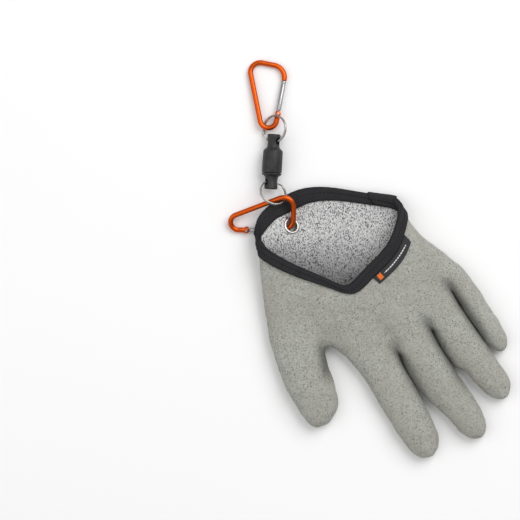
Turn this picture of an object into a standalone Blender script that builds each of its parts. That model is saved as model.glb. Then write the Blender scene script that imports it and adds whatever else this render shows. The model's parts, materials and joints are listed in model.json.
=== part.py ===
"""Fishing glove lying flat, with a clip chain on the eyelet in its cuff.

Metres, +Z up. +Y runs from the fingertips to the cuff, +X from the thumb to the little finger.
"""

import math
from collections import namedtuple

import bpy
import numpy as np
from mathutils import Matrix, Vector

# Walls and running gaps
COAT_WALL = 0.0010
LINER_WALL = 0.0010
TAPE_WALL = 0.0009
LABEL_WALL = 0.0007
GAP = 0.0003

# Palm and cuff
PALM_LENGTH = 0.160
PALM_HEIGHT = 0.028
CUFF_WIDTH = 0.1215
CUFF_SET_LEFT = 0.0143
TAPE_WIDTH = 0.0080
LABEL_WIDTH = 0.0110

# Fingers: width, length from root to tip, height as they lie, tip's shift across
Finger = namedtuple("Finger", "name width length height shift")
FINGERS = (
    Finger("index", 0.0380, 0.1010, 0.0175, -0.0050),
    Finger("middle", 0.0335, 0.1070, 0.0180, 0.0035),
    Finger("ring", 0.0325, 0.1010, 0.0175, 0.0060),
    Finger("little", 0.0235, 0.0795, 0.0170, 0.0005),
)
THUMB_LENGTH = 0.0660
THUMB_WIDTH = 0.0440
THUMB_HEIGHT = 0.0190

# Space between neighbouring fingers, each side of their middle line
FINGER_SPACE = 0.0009

# Eyelet in the far wall
EYELET_BORE = 0.0047
EYELET_BARREL_WALL = 0.0004
EYELET_FLANGE = 0.0072
EYELET_FLANGE_WALL = 0.0007
EYELET_LIP = 0.0013
EYELET_FROM_LEFT = 0.0340
EYELET_FROM_RIM = 0.0232
EYELET_HEIGHT = 0.0058
EYELET_TILT = math.radians(30.0)
SEAT_FLAT = 0.0118
SEAT_FADE = 0.0200

# Carabiner, the same for both clips
WIRE_RADIUS = 0.0020
CARABINER_LENGTH = 0.0585
NARROW_RADIUS = 0.0070
SPINE_CORNER_RADIUS = 0.0082
GATE_CORNER_RADIUS = 0.0105
LEG_LEAN = math.radians(10.9)
TOP_SLOPE = math.radians(12.0)
HINGE_RADIUS = 0.0024
HINGE_FROM_NARROW = 0.0062
NOSE_LENGTH = 0.001336
HINGE_EDGE = 0.0004
HINGE_PROUD = 0.0002
TONGUE_INSET = 0.0005
TONGUE_HALF_WIDTH = 0.0011
TONGUE_IN_BAR = 0.0006
GATE_EDGE = 0.0003
GATE_RADIUS = 0.0017
SLOT_WIDTH = 0.0017
RIVET_RADIUS = 0.00065

# Split rings
RING_RADIUS = 0.0112
RING_WIRE_RADIAL = 0.0011
RING_WIRE_AXIAL = 0.0020

# Magnetic release
RELEASE_RADIUS = 0.0084
RELEASE_NECK_RADIUS = 0.0056
RELEASE_NECK = 0.0109
RELEASE_SHOULDER = 0.0030
RELEASE_BARREL = 0.0185
RELEASE_LOWER_NECK = 0.0106
RELEASE_HOLE_RADIUS = 0.0028
RELEASE_HOLE_FROM_END = 0.0060
RELEASE_EDGE = 0.0006
RING_PLAY = 0.0008

# How the clip chain lies: angles seen from above are from +X, tilts are out of the level
LOWER_GATE_HEADING = math.radians(-33.0)
LOWER_CLIP_TILT = math.radians(22.0)
LOWER_GATE_CLIMB = math.radians(4.0)
EYELET_TURN = math.radians(48.0)
CHAIN_HEADING = math.radians(53.4)
LOWER_RING_PITCH = math.radians(27.5)
LOWER_RING_ROLL = math.radians(22.0)
LOWER_RING_SWAY = math.radians(14.0)
LOWER_RING_ON_SPINE = 0.0170
LOWER_RING_ALONG = 0.0060
LOWER_RING_ACROSS = -0.0022
UPPER_RING_PITCH = math.radians(3.0)
UPPER_RING_ROLL = math.radians(36.0)
UPPER_CLIP_HEADING = math.radians(57.5)
UPPER_CLIP_ALONG = 0.0077
UPPER_CLIP_ACROSS = -0.0056
UPPER_CLIP_LIFT = 0.0052

# Smooth parameters of the round pieces
WIRE_SIDES = 8
RING_STEPS = 28
ROUND_SIDES = 20

COLUMNS = 9
MATERIALS = {
    "latex": ((0.33, 0.33, 0.34), 0.72, 0.0),
    "knit": ((0.20, 0.20, 0.21), 0.95, 0.0),
    "tape": ((0.020, 0.020, 0.022), 0.90, 0.0),
    "label": ((0.015, 0.015, 0.017), 0.85, 0.0),
    "nickel": ((0.62, 0.61, 0.60), 0.28, 1.0),
    "orange_alloy": ((0.80, 0.20, 0.02), 0.30, 1.0),
    "steel": ((0.70, 0.70, 0.71), 0.25, 1.0),
    "black_plastic": ((0.018, 0.018, 0.020), 0.45, 0.0),
}

UP = Vector((0.0, 0.0, 1.0))

# Zones of the glove's surface
FINGER_ZONE, PALM_ZONE, HEM_ZONE, OVERLAP_ZONE, LABEL_ZONE = range(5)

# One row a column of the cuff's rim, round the opening from the thumb side over the near wall:
# across is a share of the cuff's width, along of the palm's length, up of the palm's height
Rim = namedtuple("Rim", "across along up")
RIM_TOP = (
    Rim(0.060, 0.788, 0.76), Rim(0.151, 0.653, 0.89), Rim(0.307, 0.500, 0.96),
    Rim(0.350, 0.392, 1.00), Rim(0.550, 0.456, 1.00), Rim(0.698, 0.466, 0.97),
    Rim(0.813, 0.503, 0.92), Rim(0.895, 0.550, 0.81), Rim(0.959, 0.588, 0.64),
)
RIM_RIGHT = Rim(1.010, 0.631, 0.41)
RIM_BOTTOM = (
    Rim(0.080, 0.975, 0.40), Rim(0.245, 1.010, 0.38), Rim(0.360, 0.994, 0.10),
    Rim(0.467, 0.993, 0.10), Rim(0.616, 0.934, 0.10), Rim(0.739, 0.849, 0.11),
    Rim(0.854, 0.766, 0.13), Rim(0.939, 0.711, 0.15), Rim(0.992, 0.675, 0.22),
)
RIM_LEFT = Rim(0.011, 0.869, 0.58)

# Finger roots: how far each column's root lies back from the middle finger's, of the palm's length
ROOT_BACK = (0.066, 0.028, 0.020, 0.000, 0.030, 0.080, 0.150, 0.175, 0.190)
ROOT_LEFT_BACK = 0.090
ROOT_RIGHT_BACK = 0.196
ROOT_RIGHT_IN = 0.19

# Rows of the palm from the roots towards the rim: shares of the way from root to rim at the thumb
# edge, down the middle of the near wall, at the little finger's edge and along the far wall; then
# how far the row bulges out at both edges, of the palm's length, and its height, of the palm's
Row = namedtuple("Row", "left near right far left_out right_out height")
ROWS = (
    Row(0.235, 0.36, 0.20, 0.24, -0.050, -0.032, 0.78),
    Row(0.45, 0.58, 0.42, 0.42, -0.115, -0.039, 0.88),
    Row(0.68, 0.74, 0.63, 0.60, -0.178, -0.051, 0.95),
)

# How much of the near wall's share, and of the edges' bulge, reaches each column
NEAR_PULL = (0.35, 0.70, 0.93, 1.00, 1.00, 0.95, 0.80, 0.55, 0.30)
FAR_PULL = (0.50, 0.85, 1.00, 1.00, 1.00, 1.00, 1.00, 0.85, 0.50)
LEFT_REACH = (0.80, 0.42, 0.14, 0.03, 0.00, 0.00, 0.00, 0.00, 0.00)
RIGHT_REACH = (0.00, 0.00, 0.00, 0.00, 0.00, 0.05, 0.15, 0.45, 0.80)
DOME = (0.76, 0.96, 0.93, 1.00, 0.94, 1.00, 0.92, 0.92, 0.72)
SIDE_HEIGHT = 0.44

# How far the far wall is lifted clear of the clip's gate, of the palm's height
CLIP_LIFT = (0.34, 0.38, 0.03, 0.00, 0.00, 0.00, 0.00, 0.00, 0.08)

# Sections of a finger, from its root to its tip: place, width and height as shares of its own
Section = namedtuple("Section", "along width height")
FINGER_SECTIONS = (
    Section(0.20, 1.00, 1.00),
    Section(0.45, 1.00, 0.98),
    Section(0.70, 0.97, 0.95),
    Section(0.91, 0.80, 0.84),
)
TIP_REACH = 1.045
TIP_HEIGHT = 0.46

# Round the section: across and up, as shares of its half width and height
SECTION_ROUND = (
    (-0.66, 1.00), (0.00, 1.07), (0.66, 1.00), (1.07, 0.47),
    (0.72, 0.00), (0.00, 0.00), (-0.72, 0.00), (-1.07, 0.47),
)

# Sections of the thumb: its middle line, across and along as shares of the thumb's length from the
# crotch, its width and height as shares of its own, and its turn out of the glove's line
ThumbSection = namedtuple("ThumbSection", "across along width height turn")
THUMB_SECTIONS = (
    ThumbSection(-0.385, -0.120, 1.08, 1.03, math.radians(-24.0)),
    ThumbSection(-0.415, -0.430, 0.98, 1.00, math.radians(-6.0)),
    ThumbSection(-0.460, -0.690, 0.90, 0.95, math.radians(0.0)),
    ThumbSection(-0.490, -0.900, 0.70, 0.84, math.radians(4.0)),
)
THUMB_TIP = (-0.510, -1.050)


def material(name):
    """A Principled material of one finish."""
    found = bpy.data.materials.get(name)
    if found:
        return found
    colour, roughness, metallic = MATERIALS[name]
    made = bpy.data.materials.new(name)
    made.use_nodes = True
    shader = made.node_tree.nodes["Principled BSDF"]
    shader.inputs["Base Color"].default_value = (*colour, 1.0)
    shader.inputs["Roughness"].default_value = roughness
    shader.inputs["Metallic"].default_value = metallic
    made.diffuse_color = (*colour, 1.0)
    return made


def solid(name, points, faces, finish, smooth=True):
    """A mesh object of points and faces with one finish."""
    mesh = bpy.data.meshes.new(name)
    mesh.from_pydata([tuple(map(float, point)) for point in points], [], faces)
    mesh.validate()
    if smooth:
        mesh.shade_smooth()
        mesh.set_sharp_from_angle(angle=math.radians(40.0))
    piece = bpy.data.objects.new(name, mesh)
    piece.data.materials.append(material(finish))
    bpy.context.scene.collection.objects.link(piece)
    return piece


def cutter(piece):
    """Mark a piece as a cutting guide, which is no part of the model."""
    piece.hide_render = True
    piece.display_type = "WIRE"
    return piece


def boolean(piece, tool, operation):
    """Cut or join a piece with a guide, exactly."""
    modifier = piece.modifiers.new(tool.name, "BOOLEAN")
    modifier.operation = operation
    modifier.solver = "EXACT"
    modifier.object = tool


def palm_left():
    """Where the palm's thumb edge runs at the roots: the fingers stand side by side from it."""
    return -0.5 * sum(finger.width for finger in FINGERS)


def rim_point(rim):
    """A rim station's place."""
    left = palm_left() - CUFF_SET_LEFT
    return np.array((left + rim.across * CUFF_WIDTH, rim.along * PALM_LENGTH, rim.up * PALM_HEIGHT))


def root_columns():
    """The nine columns' places across the roots: two edges and the middle of each finger."""
    edges = [palm_left()]
    for finger in FINGERS:
        edges += [edges[-1] + 0.5 * finger.width, edges[-1] + finger.width]
    edges[0] += 0.16 * FINGERS[0].width
    edges[-1] -= 0.16 * FINGERS[-1].width
    return edges


class Cage:
    """Corner points and four-sided faces that the glove's smooth surface is drawn from."""

    def __init__(self):
        self.points = []
        self.faces = []
        self.zones = []

    def add(self, point):
        self.points.append(tuple(map(float, point)))
        return len(self.points) - 1

    def face(self, corners, zone):
        self.faces.append(tuple(corners))
        self.zones.append(zone)

    def band(self, lower, upper, zone):
        """Faces between two rings of equal length; lower is the one nearer the fingertips."""
        count = len(lower)
        for at in range(count):
            after = (at + 1) % count
            self.face((lower[at], lower[after], upper[after], upper[at]), zone)

    def cap(self, ring, tip):
        """Four faces from a ring of eight to the tip."""
        for at in range(0, 8, 2):
            self.face((tip, ring[(at + 2) % 8], ring[(at + 1) % 8], ring[at]), FINGER_ZONE)


def root_row():
    """The palm's ring of twenty points at the finger roots, and the webs between fingers."""
    columns = root_columns()
    heights = []
    for at in range(COLUMNS):
        finger = FINGERS[min(at // 2, 3)]
        neighbour = FINGERS[max((at - 1) // 2, 0)]
        tall = 0.5 * (finger.height + neighbour.height)
        heights.append(tall * (1.04 if at % 2 else 0.86))
    top = [(columns[at], ROOT_BACK[at] * PALM_LENGTH, heights[at]) for at in range(COLUMNS)]
    bottom = [(columns[at], ROOT_BACK[at] * PALM_LENGTH, 0.0) for at in range(COLUMNS)]
    right_edge = palm_left() + sum(finger.width for finger in FINGERS)
    left = (palm_left(), ROOT_LEFT_BACK * PALM_LENGTH, SIDE_HEIGHT * FINGERS[0].height)
    right = (right_edge - ROOT_RIGHT_IN * FINGERS[3].width, ROOT_RIGHT_BACK * PALM_LENGTH,
             SIDE_HEIGHT * FINGERS[3].height)
    return np.array(top), np.array(right), np.array(bottom), np.array(left)


def palm_rows():
    """Rows of twenty points from the roots to the rim, each as top, right, bottom and left."""
    root_top, root_right, root_bottom, root_left = root_row()
    rim_top = np.array([rim_point(rim) for rim in RIM_TOP])
    rim_bottom = np.array([rim_point(rim) for rim in RIM_BOTTOM])
    rim_right, rim_left = rim_point(RIM_RIGHT), rim_point(RIM_LEFT)
    rows = [(root_top, root_right, root_bottom, root_left)]
    for row in ROWS:
        left_out = np.array((row.left_out * PALM_LENGTH, 0.0, 0.0))
        right_out = np.array((row.right_out * PALM_LENGTH, 0.0, 0.0))
        left = root_left + row.left * (rim_left - root_left) + left_out
        right = root_right + row.right * (rim_right - root_right) + right_out
        left[2] = right[2] = SIDE_HEIGHT * row.height * PALM_HEIGHT
        top, bottom = [], []
        for at in range(COLUMNS):
            edge = row.left + (row.right - row.left) * at / (COLUMNS - 1)
            near = edge + NEAR_PULL[at] * (row.near - edge)
            far = edge + FAR_PULL[at] * (row.far - edge)
            bulge = LEFT_REACH[at] * left_out + RIGHT_REACH[at] * right_out
            over = root_top[at] + near * (rim_top[at] - root_top[at]) + bulge
            over[2] = DOME[at] * row.height * PALM_HEIGHT
            under = root_bottom[at] + far * (rim_bottom[at] - root_bottom[at]) + bulge
            under[2] = 0.0
            top.append(over)
            bottom.append(under)
        rows.append((np.array(top), right, np.array(bottom), left))
    last = rows[-1]
    rim = (rim_top, rim_right, rim_bottom, rim_left)
    hem = [step_from(rim[side], last[side], TAPE_WIDTH) for side in range(4)]
    label = [step_from(rim[side], last[side], TAPE_WIDTH + LABEL_WIDTH) for side in range(4)]
    middle = [0.45 * hem[side] + 0.55 * last[side] for side in range(4)]
    middle[0][4:] = label[0][4:]
    lift = np.array(CLIP_LIFT) * PALM_HEIGHT
    middle[2][:, 2] = lift
    hem[2][:, 2] = 0.2 * lift + 0.8 * rim_bottom[:, 2]
    rows += [tuple(middle), tuple(hem), rim]
    return rows


def step_from(start, towards, distance):
    """Points a distance from start towards others."""
    way = towards - start
    return start + way * (distance / np.linalg.norm(way, axis=-1, keepdims=True))


def finger_ring(cage, middle, width, height, turn=0.0):
    """Eight points round a finger's section at a place, flat on the surface below."""
    ring = []
    for across, up in SECTION_ROUND:
        reach = 0.5 * across * width
        ring.append(cage.add((
            middle[0] + reach * math.cos(turn),
            middle[1] + reach * math.sin(turn),
            up * height,
        )))
    return ring


def glove_cage():
    """The whole glove as one open surface: fingers, thumb, palm and cuff."""
    cage = Cage()
    rows = palm_rows()
    rings = []
    for top, right, bottom, left in rows:
        over = [cage.add(point) for point in top]
        under = [cage.add(point) for point in bottom]
        rings.append((over, cage.add(right), under, cage.add(left)))
    loops = [over + [right] + under[::-1] + [left] for over, right, under, left in rings]
    for level in range(len(loops) - 1):
        lower, upper = loops[level], loops[level + 1]
        for at in range(20):
            after = (at + 1) % 20
            by_thumb = at in (18, 19) and level in (1, 2)
            if by_thumb:
                continue
            zone = PALM_ZONE
            if level == len(loops) - 2:
                zone = OVERLAP_ZONE if at in (10, 11) else HEM_ZONE
            elif level == len(loops) - 3 and 4 <= at <= 6:
                zone = LABEL_ZONE
            cage.face((lower[at], lower[after], upper[after], upper[at]), zone)
    add_fingers(cage, rings[0])
    add_thumb(cage, rings)
    return cage


def add_fingers(cage, root):
    """Four fingers on the root row; neighbours share the web between them."""
    over, right, under, left = root
    webs = [left]
    for at in (2, 4, 6):
        top, low = np.array(cage.points[over[at]]), np.array(cage.points[under[at]])
        middle = 0.5 * (top + low)
        webs.append(cage.add((middle[0], middle[1], middle[2])))
    webs.append(right)
    for at, finger in enumerate(FINGERS):
        first = 2 * at
        ring = [over[first], over[first + 1], over[first + 2], webs[at + 1],
                under[first + 2], under[first + 1], under[first], webs[at]]
        corners = np.array([cage.points[index] for index in ring])
        start = corners.mean(axis=0)
        start[0] = 0.5 * (corners[3][0] + corners[7][0])
        width = finger.width - 2.0 * FINGER_SPACE
        for section in FINGER_SECTIONS:
            place = (start[0] + section.along ** 1.5 * finger.shift,
                     start[1] - section.along * finger.length)
            after = finger_ring(cage, place, section.width * width, section.height * finger.height)
            cage.band(after, ring, FINGER_ZONE)
            ring = after
        tip = cage.add((start[0] + finger.shift, start[1] - TIP_REACH * finger.length,
                        TIP_HEIGHT * finger.height))
        cage.cap(ring, tip)


def add_thumb(cage, rings):
    """The thumb on the opening left in the palm's thumb edge."""
    (top1, _, low1, left1), (top2, _, low2, _), (top3, _, low3, left3) = rings[1:4]
    ring = [top3[0], top2[0], top1[0], left1, low1[0], low2[0], low3[0], left3]
    crotch = np.array(cage.points[left1])
    for section in THUMB_SECTIONS:
        place = (crotch[0] + section.across * THUMB_LENGTH, crotch[1] + section.along * THUMB_LENGTH)
        after = finger_ring(cage, place, section.width * THUMB_WIDTH,
                            section.height * THUMB_HEIGHT, section.turn)
        cage.band(after, ring, FINGER_ZONE)
        ring = after
    tip = cage.add((crotch[0] + THUMB_TIP[0] * THUMB_LENGTH,
                    crotch[1] + THUMB_TIP[1] * THUMB_LENGTH, TIP_HEIGHT * THUMB_HEIGHT))
    cage.cap(ring, tip)


class Surface:
    """The glove's smooth outer surface as triangles, each with its zone."""

    def __init__(self, cage, levels):
        mesh = bpy.data.meshes.new("glove_cage")
        mesh.from_pydata(cage.points, [], cage.faces)
        mesh.polygons.foreach_set("material_index", cage.zones)
        guide = bpy.data.objects.new("glove_cage", mesh)
        bpy.context.scene.collection.objects.link(guide)
        for _ in range(max(cage.zones) + 1):
            mesh.materials.append(None)
        smooth = guide.modifiers.new("smooth", "SUBSURF")
        smooth.levels = smooth.render_levels = levels
        ready = guide.evaluated_get(bpy.context.evaluated_depsgraph_get())
        fine = bpy.data.meshes.new_from_object(ready)
        used = sorted({index for face in fine.polygons for index in face.vertices})
        place = {index: at for at, index in enumerate(used)}
        self.points = np.array([fine.vertices[index].co[:] for index in used])
        self.triangles = []
        self.zones = []
        for face in fine.polygons:
            a, b, c, d = (place[index] for index in face.vertices)
            first = np.linalg.norm(self.points[a] - self.points[c])
            second = np.linalg.norm(self.points[b] - self.points[d])
            halves = ((a, b, c), (a, c, d)) if first <= second else ((a, b, d), (b, c, d))
            self.triangles += halves
            self.zones += [face.material_index] * 2
        bpy.data.objects.remove(guide)
        bpy.data.meshes.remove(mesh)
        bpy.data.meshes.remove(fine)
        self.settle()

    def settle(self):
        """Work out the outward normal of each point."""
        triangles = np.array(self.triangles)
        a, b, c = (self.points[triangles[:, corner]] for corner in range(3))
        area = np.cross(b - a, c - a)
        normals = np.zeros_like(self.points)
        for corner in range(3):
            np.add.at(normals, triangles[:, corner], area)
        self.normals = normals / np.linalg.norm(normals, axis=1, keepdims=True)

    def select(self, zones):
        """The triangles of some zones."""
        return [face for face, zone in zip(self.triangles, self.zones) if zone in zones]

    def press_flat(self, centre, normal, inner, outer):
        """Draw the far wall's points near a place onto one plane, fading out to the outer radius."""
        apart = self.points - centre
        height = apart @ normal
        reach = np.linalg.norm(apart - np.outer(height, normal), axis=1)
        fade = np.clip((outer - reach) / (outer - inner), 0.0, 1.0)
        fade = fade * fade * (3.0 - 2.0 * fade)
        fade[self.normals @ normal < 0.3] = 0.0
        self.points = self.points - np.outer(height * fade, normal)
        self.points[:, 2] = np.maximum(self.points[:, 2], 0.0)
        self.settle()


def boundary(triangles):
    """Edges used by one triangle only, in that triangle's direction."""
    edges = {}
    for a, b, c in triangles:
        for start, end in ((a, b), (b, c), (c, a)):
            edges[(start, end)] = True
    return [edge for edge in edges if (edge[1], edge[0]) not in edges]


def shell(name, surface, triangles, outside, inside, finish, moved=None):
    """A wall between two offsets of the surface, closed along its edges."""
    used = sorted({index for face in triangles for index in face})
    place = {index: at for at, index in enumerate(used)}
    base = surface.points[used]
    if moved:
        for index, point in moved.items():
            base[place[index]] = point
    normals = surface.normals[used]
    count = len(used)
    points = np.vstack((base + outside * normals, base + inside * normals))
    faces = [tuple(place[index] for index in face) for face in triangles]
    faces += [tuple(place[index] + count for index in reversed(face)) for face in triangles]
    for start, end in boundary(triangles):
        a, b = place[start], place[end]
        faces += [(b, a, a + count), (b, a + count, b + count)]
    return solid(name, points, faces, finish)


def tape(name, surface, zones, clear, wall, finish):
    """Tape folded over the rim: two legs beside the walls and a turned edge past the rim."""
    triangles = surface.select(zones)
    used = sorted({index for face in triangles for index in face})
    place = {index: at for at, index in enumerate(used)}
    base, normals = surface.points[used], surface.normals[used]
    through = COAT_WALL + GAP + LINER_WALL
    layers = (clear + wall, clear, -(through + clear), -(through + clear + wall))
    count = len(used)
    points = [base + offset * normals for offset in layers]
    every = np.vstack(points)
    faces = []
    for layer, forward in enumerate((True, False, True, False)):
        for face in triangles:
            corners = face if forward else tuple(reversed(face))
            faces.append(tuple(place[index] + layer * count for index in corners))
    all_edges = boundary(surface.triangles)
    at_rim = [edge for edge in boundary(triangles) if edge in set(all_edges)]
    rim_points = sorted({index for edge in at_rim for index in edge})
    away = rim_outward(surface, rim_points)
    turned = {}
    extra = []
    middle = -0.5 * through
    reach = 0.5 * through + clear
    for index in rim_points:
        here, normal, out = surface.points[index], surface.normals[index], away[index]
        turned[index] = []
        for lift, past in ((reach + 0.75 * wall, clear + 0.75 * wall), (0.0, clear + wall),
                           (-reach - 0.75 * wall, clear + 0.75 * wall), (reach, clear), (-reach, clear)):
            turned[index].append(len(every) + len(extra))
            extra.append(here + (middle + lift) * normal + past * out)
    every = np.vstack((every, np.array(extra)))
    for start, end in boundary(triangles):
        a, b = place[start], place[end]
        if (start, end) in at_rim:
            first, last = turned[start], turned[end]
            outer = [(a, b), (first[0], last[0]), (first[1], last[1]), (first[2], last[2]),
                     (a + 3 * count, b + 3 * count)]
            inner = [(a + 2 * count, b + 2 * count), (first[4], last[4]), (first[3], last[3]),
                     (a + count, b + count)]
            for chain in (outer, inner):
                for (low, high), (next_low, next_high) in zip(chain, chain[1:]):
                    faces += [(high, low, next_low), (high, next_low, next_high)]
        else:
            faces += [(b, a, a + count), (b, a + count, b + count)]
            faces += [(b + 2 * count, a + 2 * count, a + 3 * count),
                      (b + 2 * count, a + 3 * count, b + 3 * count)]
            if start in turned and end not in turned:
                faces += end_of_tape(a, count, turned[start], True)
            if end in turned and start not in turned:
                faces += end_of_tape(b, count, turned[end], False)
    return solid(name, every, faces, finish)


def end_of_tape(at, count, turned, leaving):
    """Close the turned edge where a tape ends."""
    first, second, third, upper, lower = turned
    outline = (at, first, second, third, at + 3 * count, at + 2 * count, lower, upper, at + count)
    triples = ((0, 1, 7), (0, 7, 8), (1, 2, 7), (2, 6, 7), (2, 3, 6), (3, 4, 5), (3, 5, 6))
    faces = [tuple(outline[corner] for corner in triple) for triple in triples]
    return faces if leaving else [tuple(reversed(face)) for face in faces]


def rim_outward(surface, rim_points):
    """The way out past the rim at each rim point: along the wall, square to the rim."""
    edges = boundary(surface.triangles)
    after = dict(edges)
    before = {end: start for start, end in edges}
    away = {}
    for index in rim_points:
        along = surface.points[after[index]] - surface.points[before[index]]
        out = np.cross(along, surface.normals[index])
        away[index] = out / np.linalg.norm(out)
    return away


def label_patch(surface):
    """The label's triangles and its upper edge's points moved just clear of the tape."""
    triangles = surface.select((LABEL_ZONE,))
    hem = {index for face in surface.select((HEM_ZONE, OVERLAP_ZONE)) for index in face}
    inner = {}
    for face in triangles:
        for index in face:
            if index in hem:
                inner.setdefault(index, []).extend(other for other in face if other not in hem)
    moved = {}
    for index, others in inner.items():
        if others:
            way = surface.points[others].mean(axis=0) - surface.points[index]
            step = (GAP + 0.0001) / np.linalg.norm(way)
            moved[index] = surface.points[index] + step * way
    return triangles, moved


def turned(name, profile, sides, finish, place):
    """A closed profile of radius and height turned about the local Z axis."""
    points, faces = [], []
    for side in range(sides):
        angle = 2.0 * math.pi * side / sides
        for radius, height in profile:
            local = Vector((radius * math.cos(angle), radius * math.sin(angle), height))
            points.append(place @ local)
    count = len(profile)
    for side in range(sides):
        ahead = (side + 1) % sides
        for at in range(count):
            after = (at + 1) % count
            faces.append((side * count + at, ahead * count + at,
                          ahead * count + after, side * count + after))
    return solid(name, points, faces, finish)


def spindle(name, profile, sides, finish, place):
    """A profile of radius and height from one pole to the other, turned about the local Z axis."""
    rings = profile[1:-1]
    points = [place @ Vector((0.0, 0.0, profile[0][1])), place @ Vector((0.0, 0.0, profile[-1][1]))]
    for radius, height in rings:
        for side in range(sides):
            angle = 2.0 * math.pi * (side + 0.5) / sides
            points.append(place @ Vector((radius * math.cos(angle), radius * math.sin(angle), height)))
    faces = []
    for side in range(sides):
        after = (side + 1) % sides
        faces.append((0, 2 + after, 2 + side))
        for level in range(len(rings) - 1):
            low, high = 2 + level * sides, 2 + (level + 1) * sides
            faces.append((low + side, low + after, high + after, high + side))
        last = 2 + (len(rings) - 1) * sides
        faces.append((1, last + side, last + after))
    return solid(name, points, faces, finish)


def swept(name, path, section, finish, closed=False):
    """A section of two-part offsets carried along a path of (point, side, up) stations."""
    points, faces = [], []
    for point, side, up in path:
        points += [point + side * across + up * rise for across, rise in section]
    count = len(section)
    last = len(path) if closed else len(path) - 1
    for station in range(last):
        ahead = (station + 1) % len(path)
        for at in range(count):
            after = (at + 1) % count
            faces.append((station * count + at, station * count + after,
                          ahead * count + after, ahead * count + at))
    if not closed:
        faces.append(tuple(reversed(range(count))))
        faces.append(tuple((len(path) - 1) * count + at for at in range(count)))
    return solid(name, points, faces, finish)


def round_section(radius, sides):
    """Points round a circle."""
    return [(radius * math.cos(2.0 * math.pi * at / sides), radius * math.sin(2.0 * math.pi * at / sides))
            for at in range(sides)]


def frame_corners():
    """Corners of the carabiner's middle line in its own plane: u to the wide end, v to the gate.

    Two straight legs lean out from the narrow end, and a sloping top joins them.
    """
    lean = Vector((math.cos(LEG_LEAN), math.sin(LEG_LEAN)))
    narrow = NARROW_RADIUS / math.sin(LEG_LEAN)
    top = narrow - NARROW_RADIUS + CARABINER_LENGTH - 2.0 * WIRE_RADIUS
    slope = math.tan(TOP_SLOPE)
    spine = top / (1.0 - slope * lean.y / lean.x)
    gate = top / (1.0 + slope * lean.y / lean.x)
    apex = Vector((0.0, 0.0))
    spine_corner = Vector((spine, -spine * lean.y / lean.x))
    gate_corner = Vector((gate, gate * lean.y / lean.x))
    pivot = lean * (NARROW_RADIUS / math.tan(LEG_LEAN) + HINGE_FROM_NARROW)
    return apex, spine_corner, gate_corner, pivot, lean


def gate_length():
    """From the hinge to the nose, whose straight stub keeps its length below the bend."""
    apex, spine_corner, gate_corner, pivot, lean = frame_corners()
    half = 0.5 * (apex - gate_corner).angle(spine_corner - gate_corner)
    to_bend = (gate_corner - pivot).length - GATE_CORNER_RADIUS / math.tan(half)
    return to_bend - NOSE_LENGTH


def frame_line():
    """The frame's middle line from the nose round the wide end and down the spine to the hinge."""
    apex, spine_corner, gate_corner, pivot, lean = frame_corners()
    nose = pivot + lean * gate_length()
    line = [nose]
    line += fillet(nose, gate_corner, spine_corner, GATE_CORNER_RADIUS, 8)
    line += fillet(gate_corner, spine_corner, apex, SPINE_CORNER_RADIUS, 7)
    line += fillet(spine_corner, apex, gate_corner, NARROW_RADIUS, 10)
    line.append(pivot)
    return line


def corner_arc(before, corner, after, radius):
    """The centre, first spoke and signed turn of an arc that rounds a corner."""
    first = (before - corner).normalized()
    second = (after - corner).normalized()
    half = 0.5 * first.angle(second)
    reach = radius / math.tan(half)
    centre = corner + (first + second).normalized() * (radius / math.sin(half))
    start = corner + first * reach - centre
    end = corner + second * reach - centre
    sign = 1.0 if start.x * end.y - start.y * end.x > 0.0 else -1.0
    return centre, start, sign * start.angle(end)


def fillet(before, corner, after, radius, steps):
    """Points along an arc that rounds a corner."""
    centre, start, turn = corner_arc(before, corner, after, radius)
    return [centre + Matrix.Rotation(turn * step / steps, 2) @ start for step in range(steps + 1)]


def carabiner(prefix, place):
    """A wire frame with its hinge head, a sprung gate and the gate's rivet."""
    pivot, lean = frame_corners()[3:]
    flat = [Vector((u, v, 0.0)) for u, v in frame_line()]
    across, above = place.to_3x3(), place.to_3x3() @ UP
    path = []
    for at, point in enumerate(flat):
        ahead, behind = flat[min(at + 1, len(flat) - 1)], flat[max(at - 1, 0)]
        along = (ahead - behind).normalized()
        side = Vector((along.y, -along.x, 0.0))
        stretch = 1.0
        if 0 < at < len(flat) - 1:
            stretch = 1.0 / math.cos(0.5 * (ahead - point).angle(point - behind))
        path.append((place @ point, (across @ side) * stretch, above))
    frame = swept(prefix + "_carabiner_frame", path, round_section(WIRE_RADIUS, WIRE_SIDES), "orange_alloy")
    hinge = Vector((pivot.x, pivot.y, 0.0))
    turn = math.atan2(lean.y, lean.x)
    at_hinge = place @ Matrix.Translation(hinge) @ Matrix.Rotation(turn, 4, "Z")
    half = WIRE_RADIUS + HINGE_PROUD
    head = spindle(prefix + "_hinge_head", ((0, -half), (HINGE_RADIUS - HINGE_EDGE, -half),
                   (HINGE_RADIUS, -half + HINGE_EDGE), (HINGE_RADIUS, half - HINGE_EDGE),
                   (HINGE_RADIUS - HINGE_EDGE, half), (0, half)), 16, "orange_alloy", at_hinge)
    boolean(frame, cutter(head), "UNION")
    past = 3.0 * HINGE_RADIUS
    slot = box(prefix + "_slot", (TONGUE_INSET - HINGE_RADIUS - GAP, past), (-past, past),
               (-0.5 * SLOT_WIDTH, 0.5 * SLOT_WIDTH), at_hinge)
    boolean(frame, cutter(slot), "DIFFERENCE")
    bore = spindle(prefix + "_rivet_bore", ((0, -past), (RIVET_RADIUS + GAP, -past),
                   (RIVET_RADIUS + GAP, past), (0, past)), 12, "orange_alloy", at_hinge)
    boolean(frame, cutter(bore), "DIFFERENCE")
    gate(prefix, at_hinge, bore)
    spindle(prefix + "_gate_rivet", ((0, -half), (RIVET_RADIUS, -half),
            (RIVET_RADIUS, half), (0, half)), 12, "steel", at_hinge)


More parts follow.
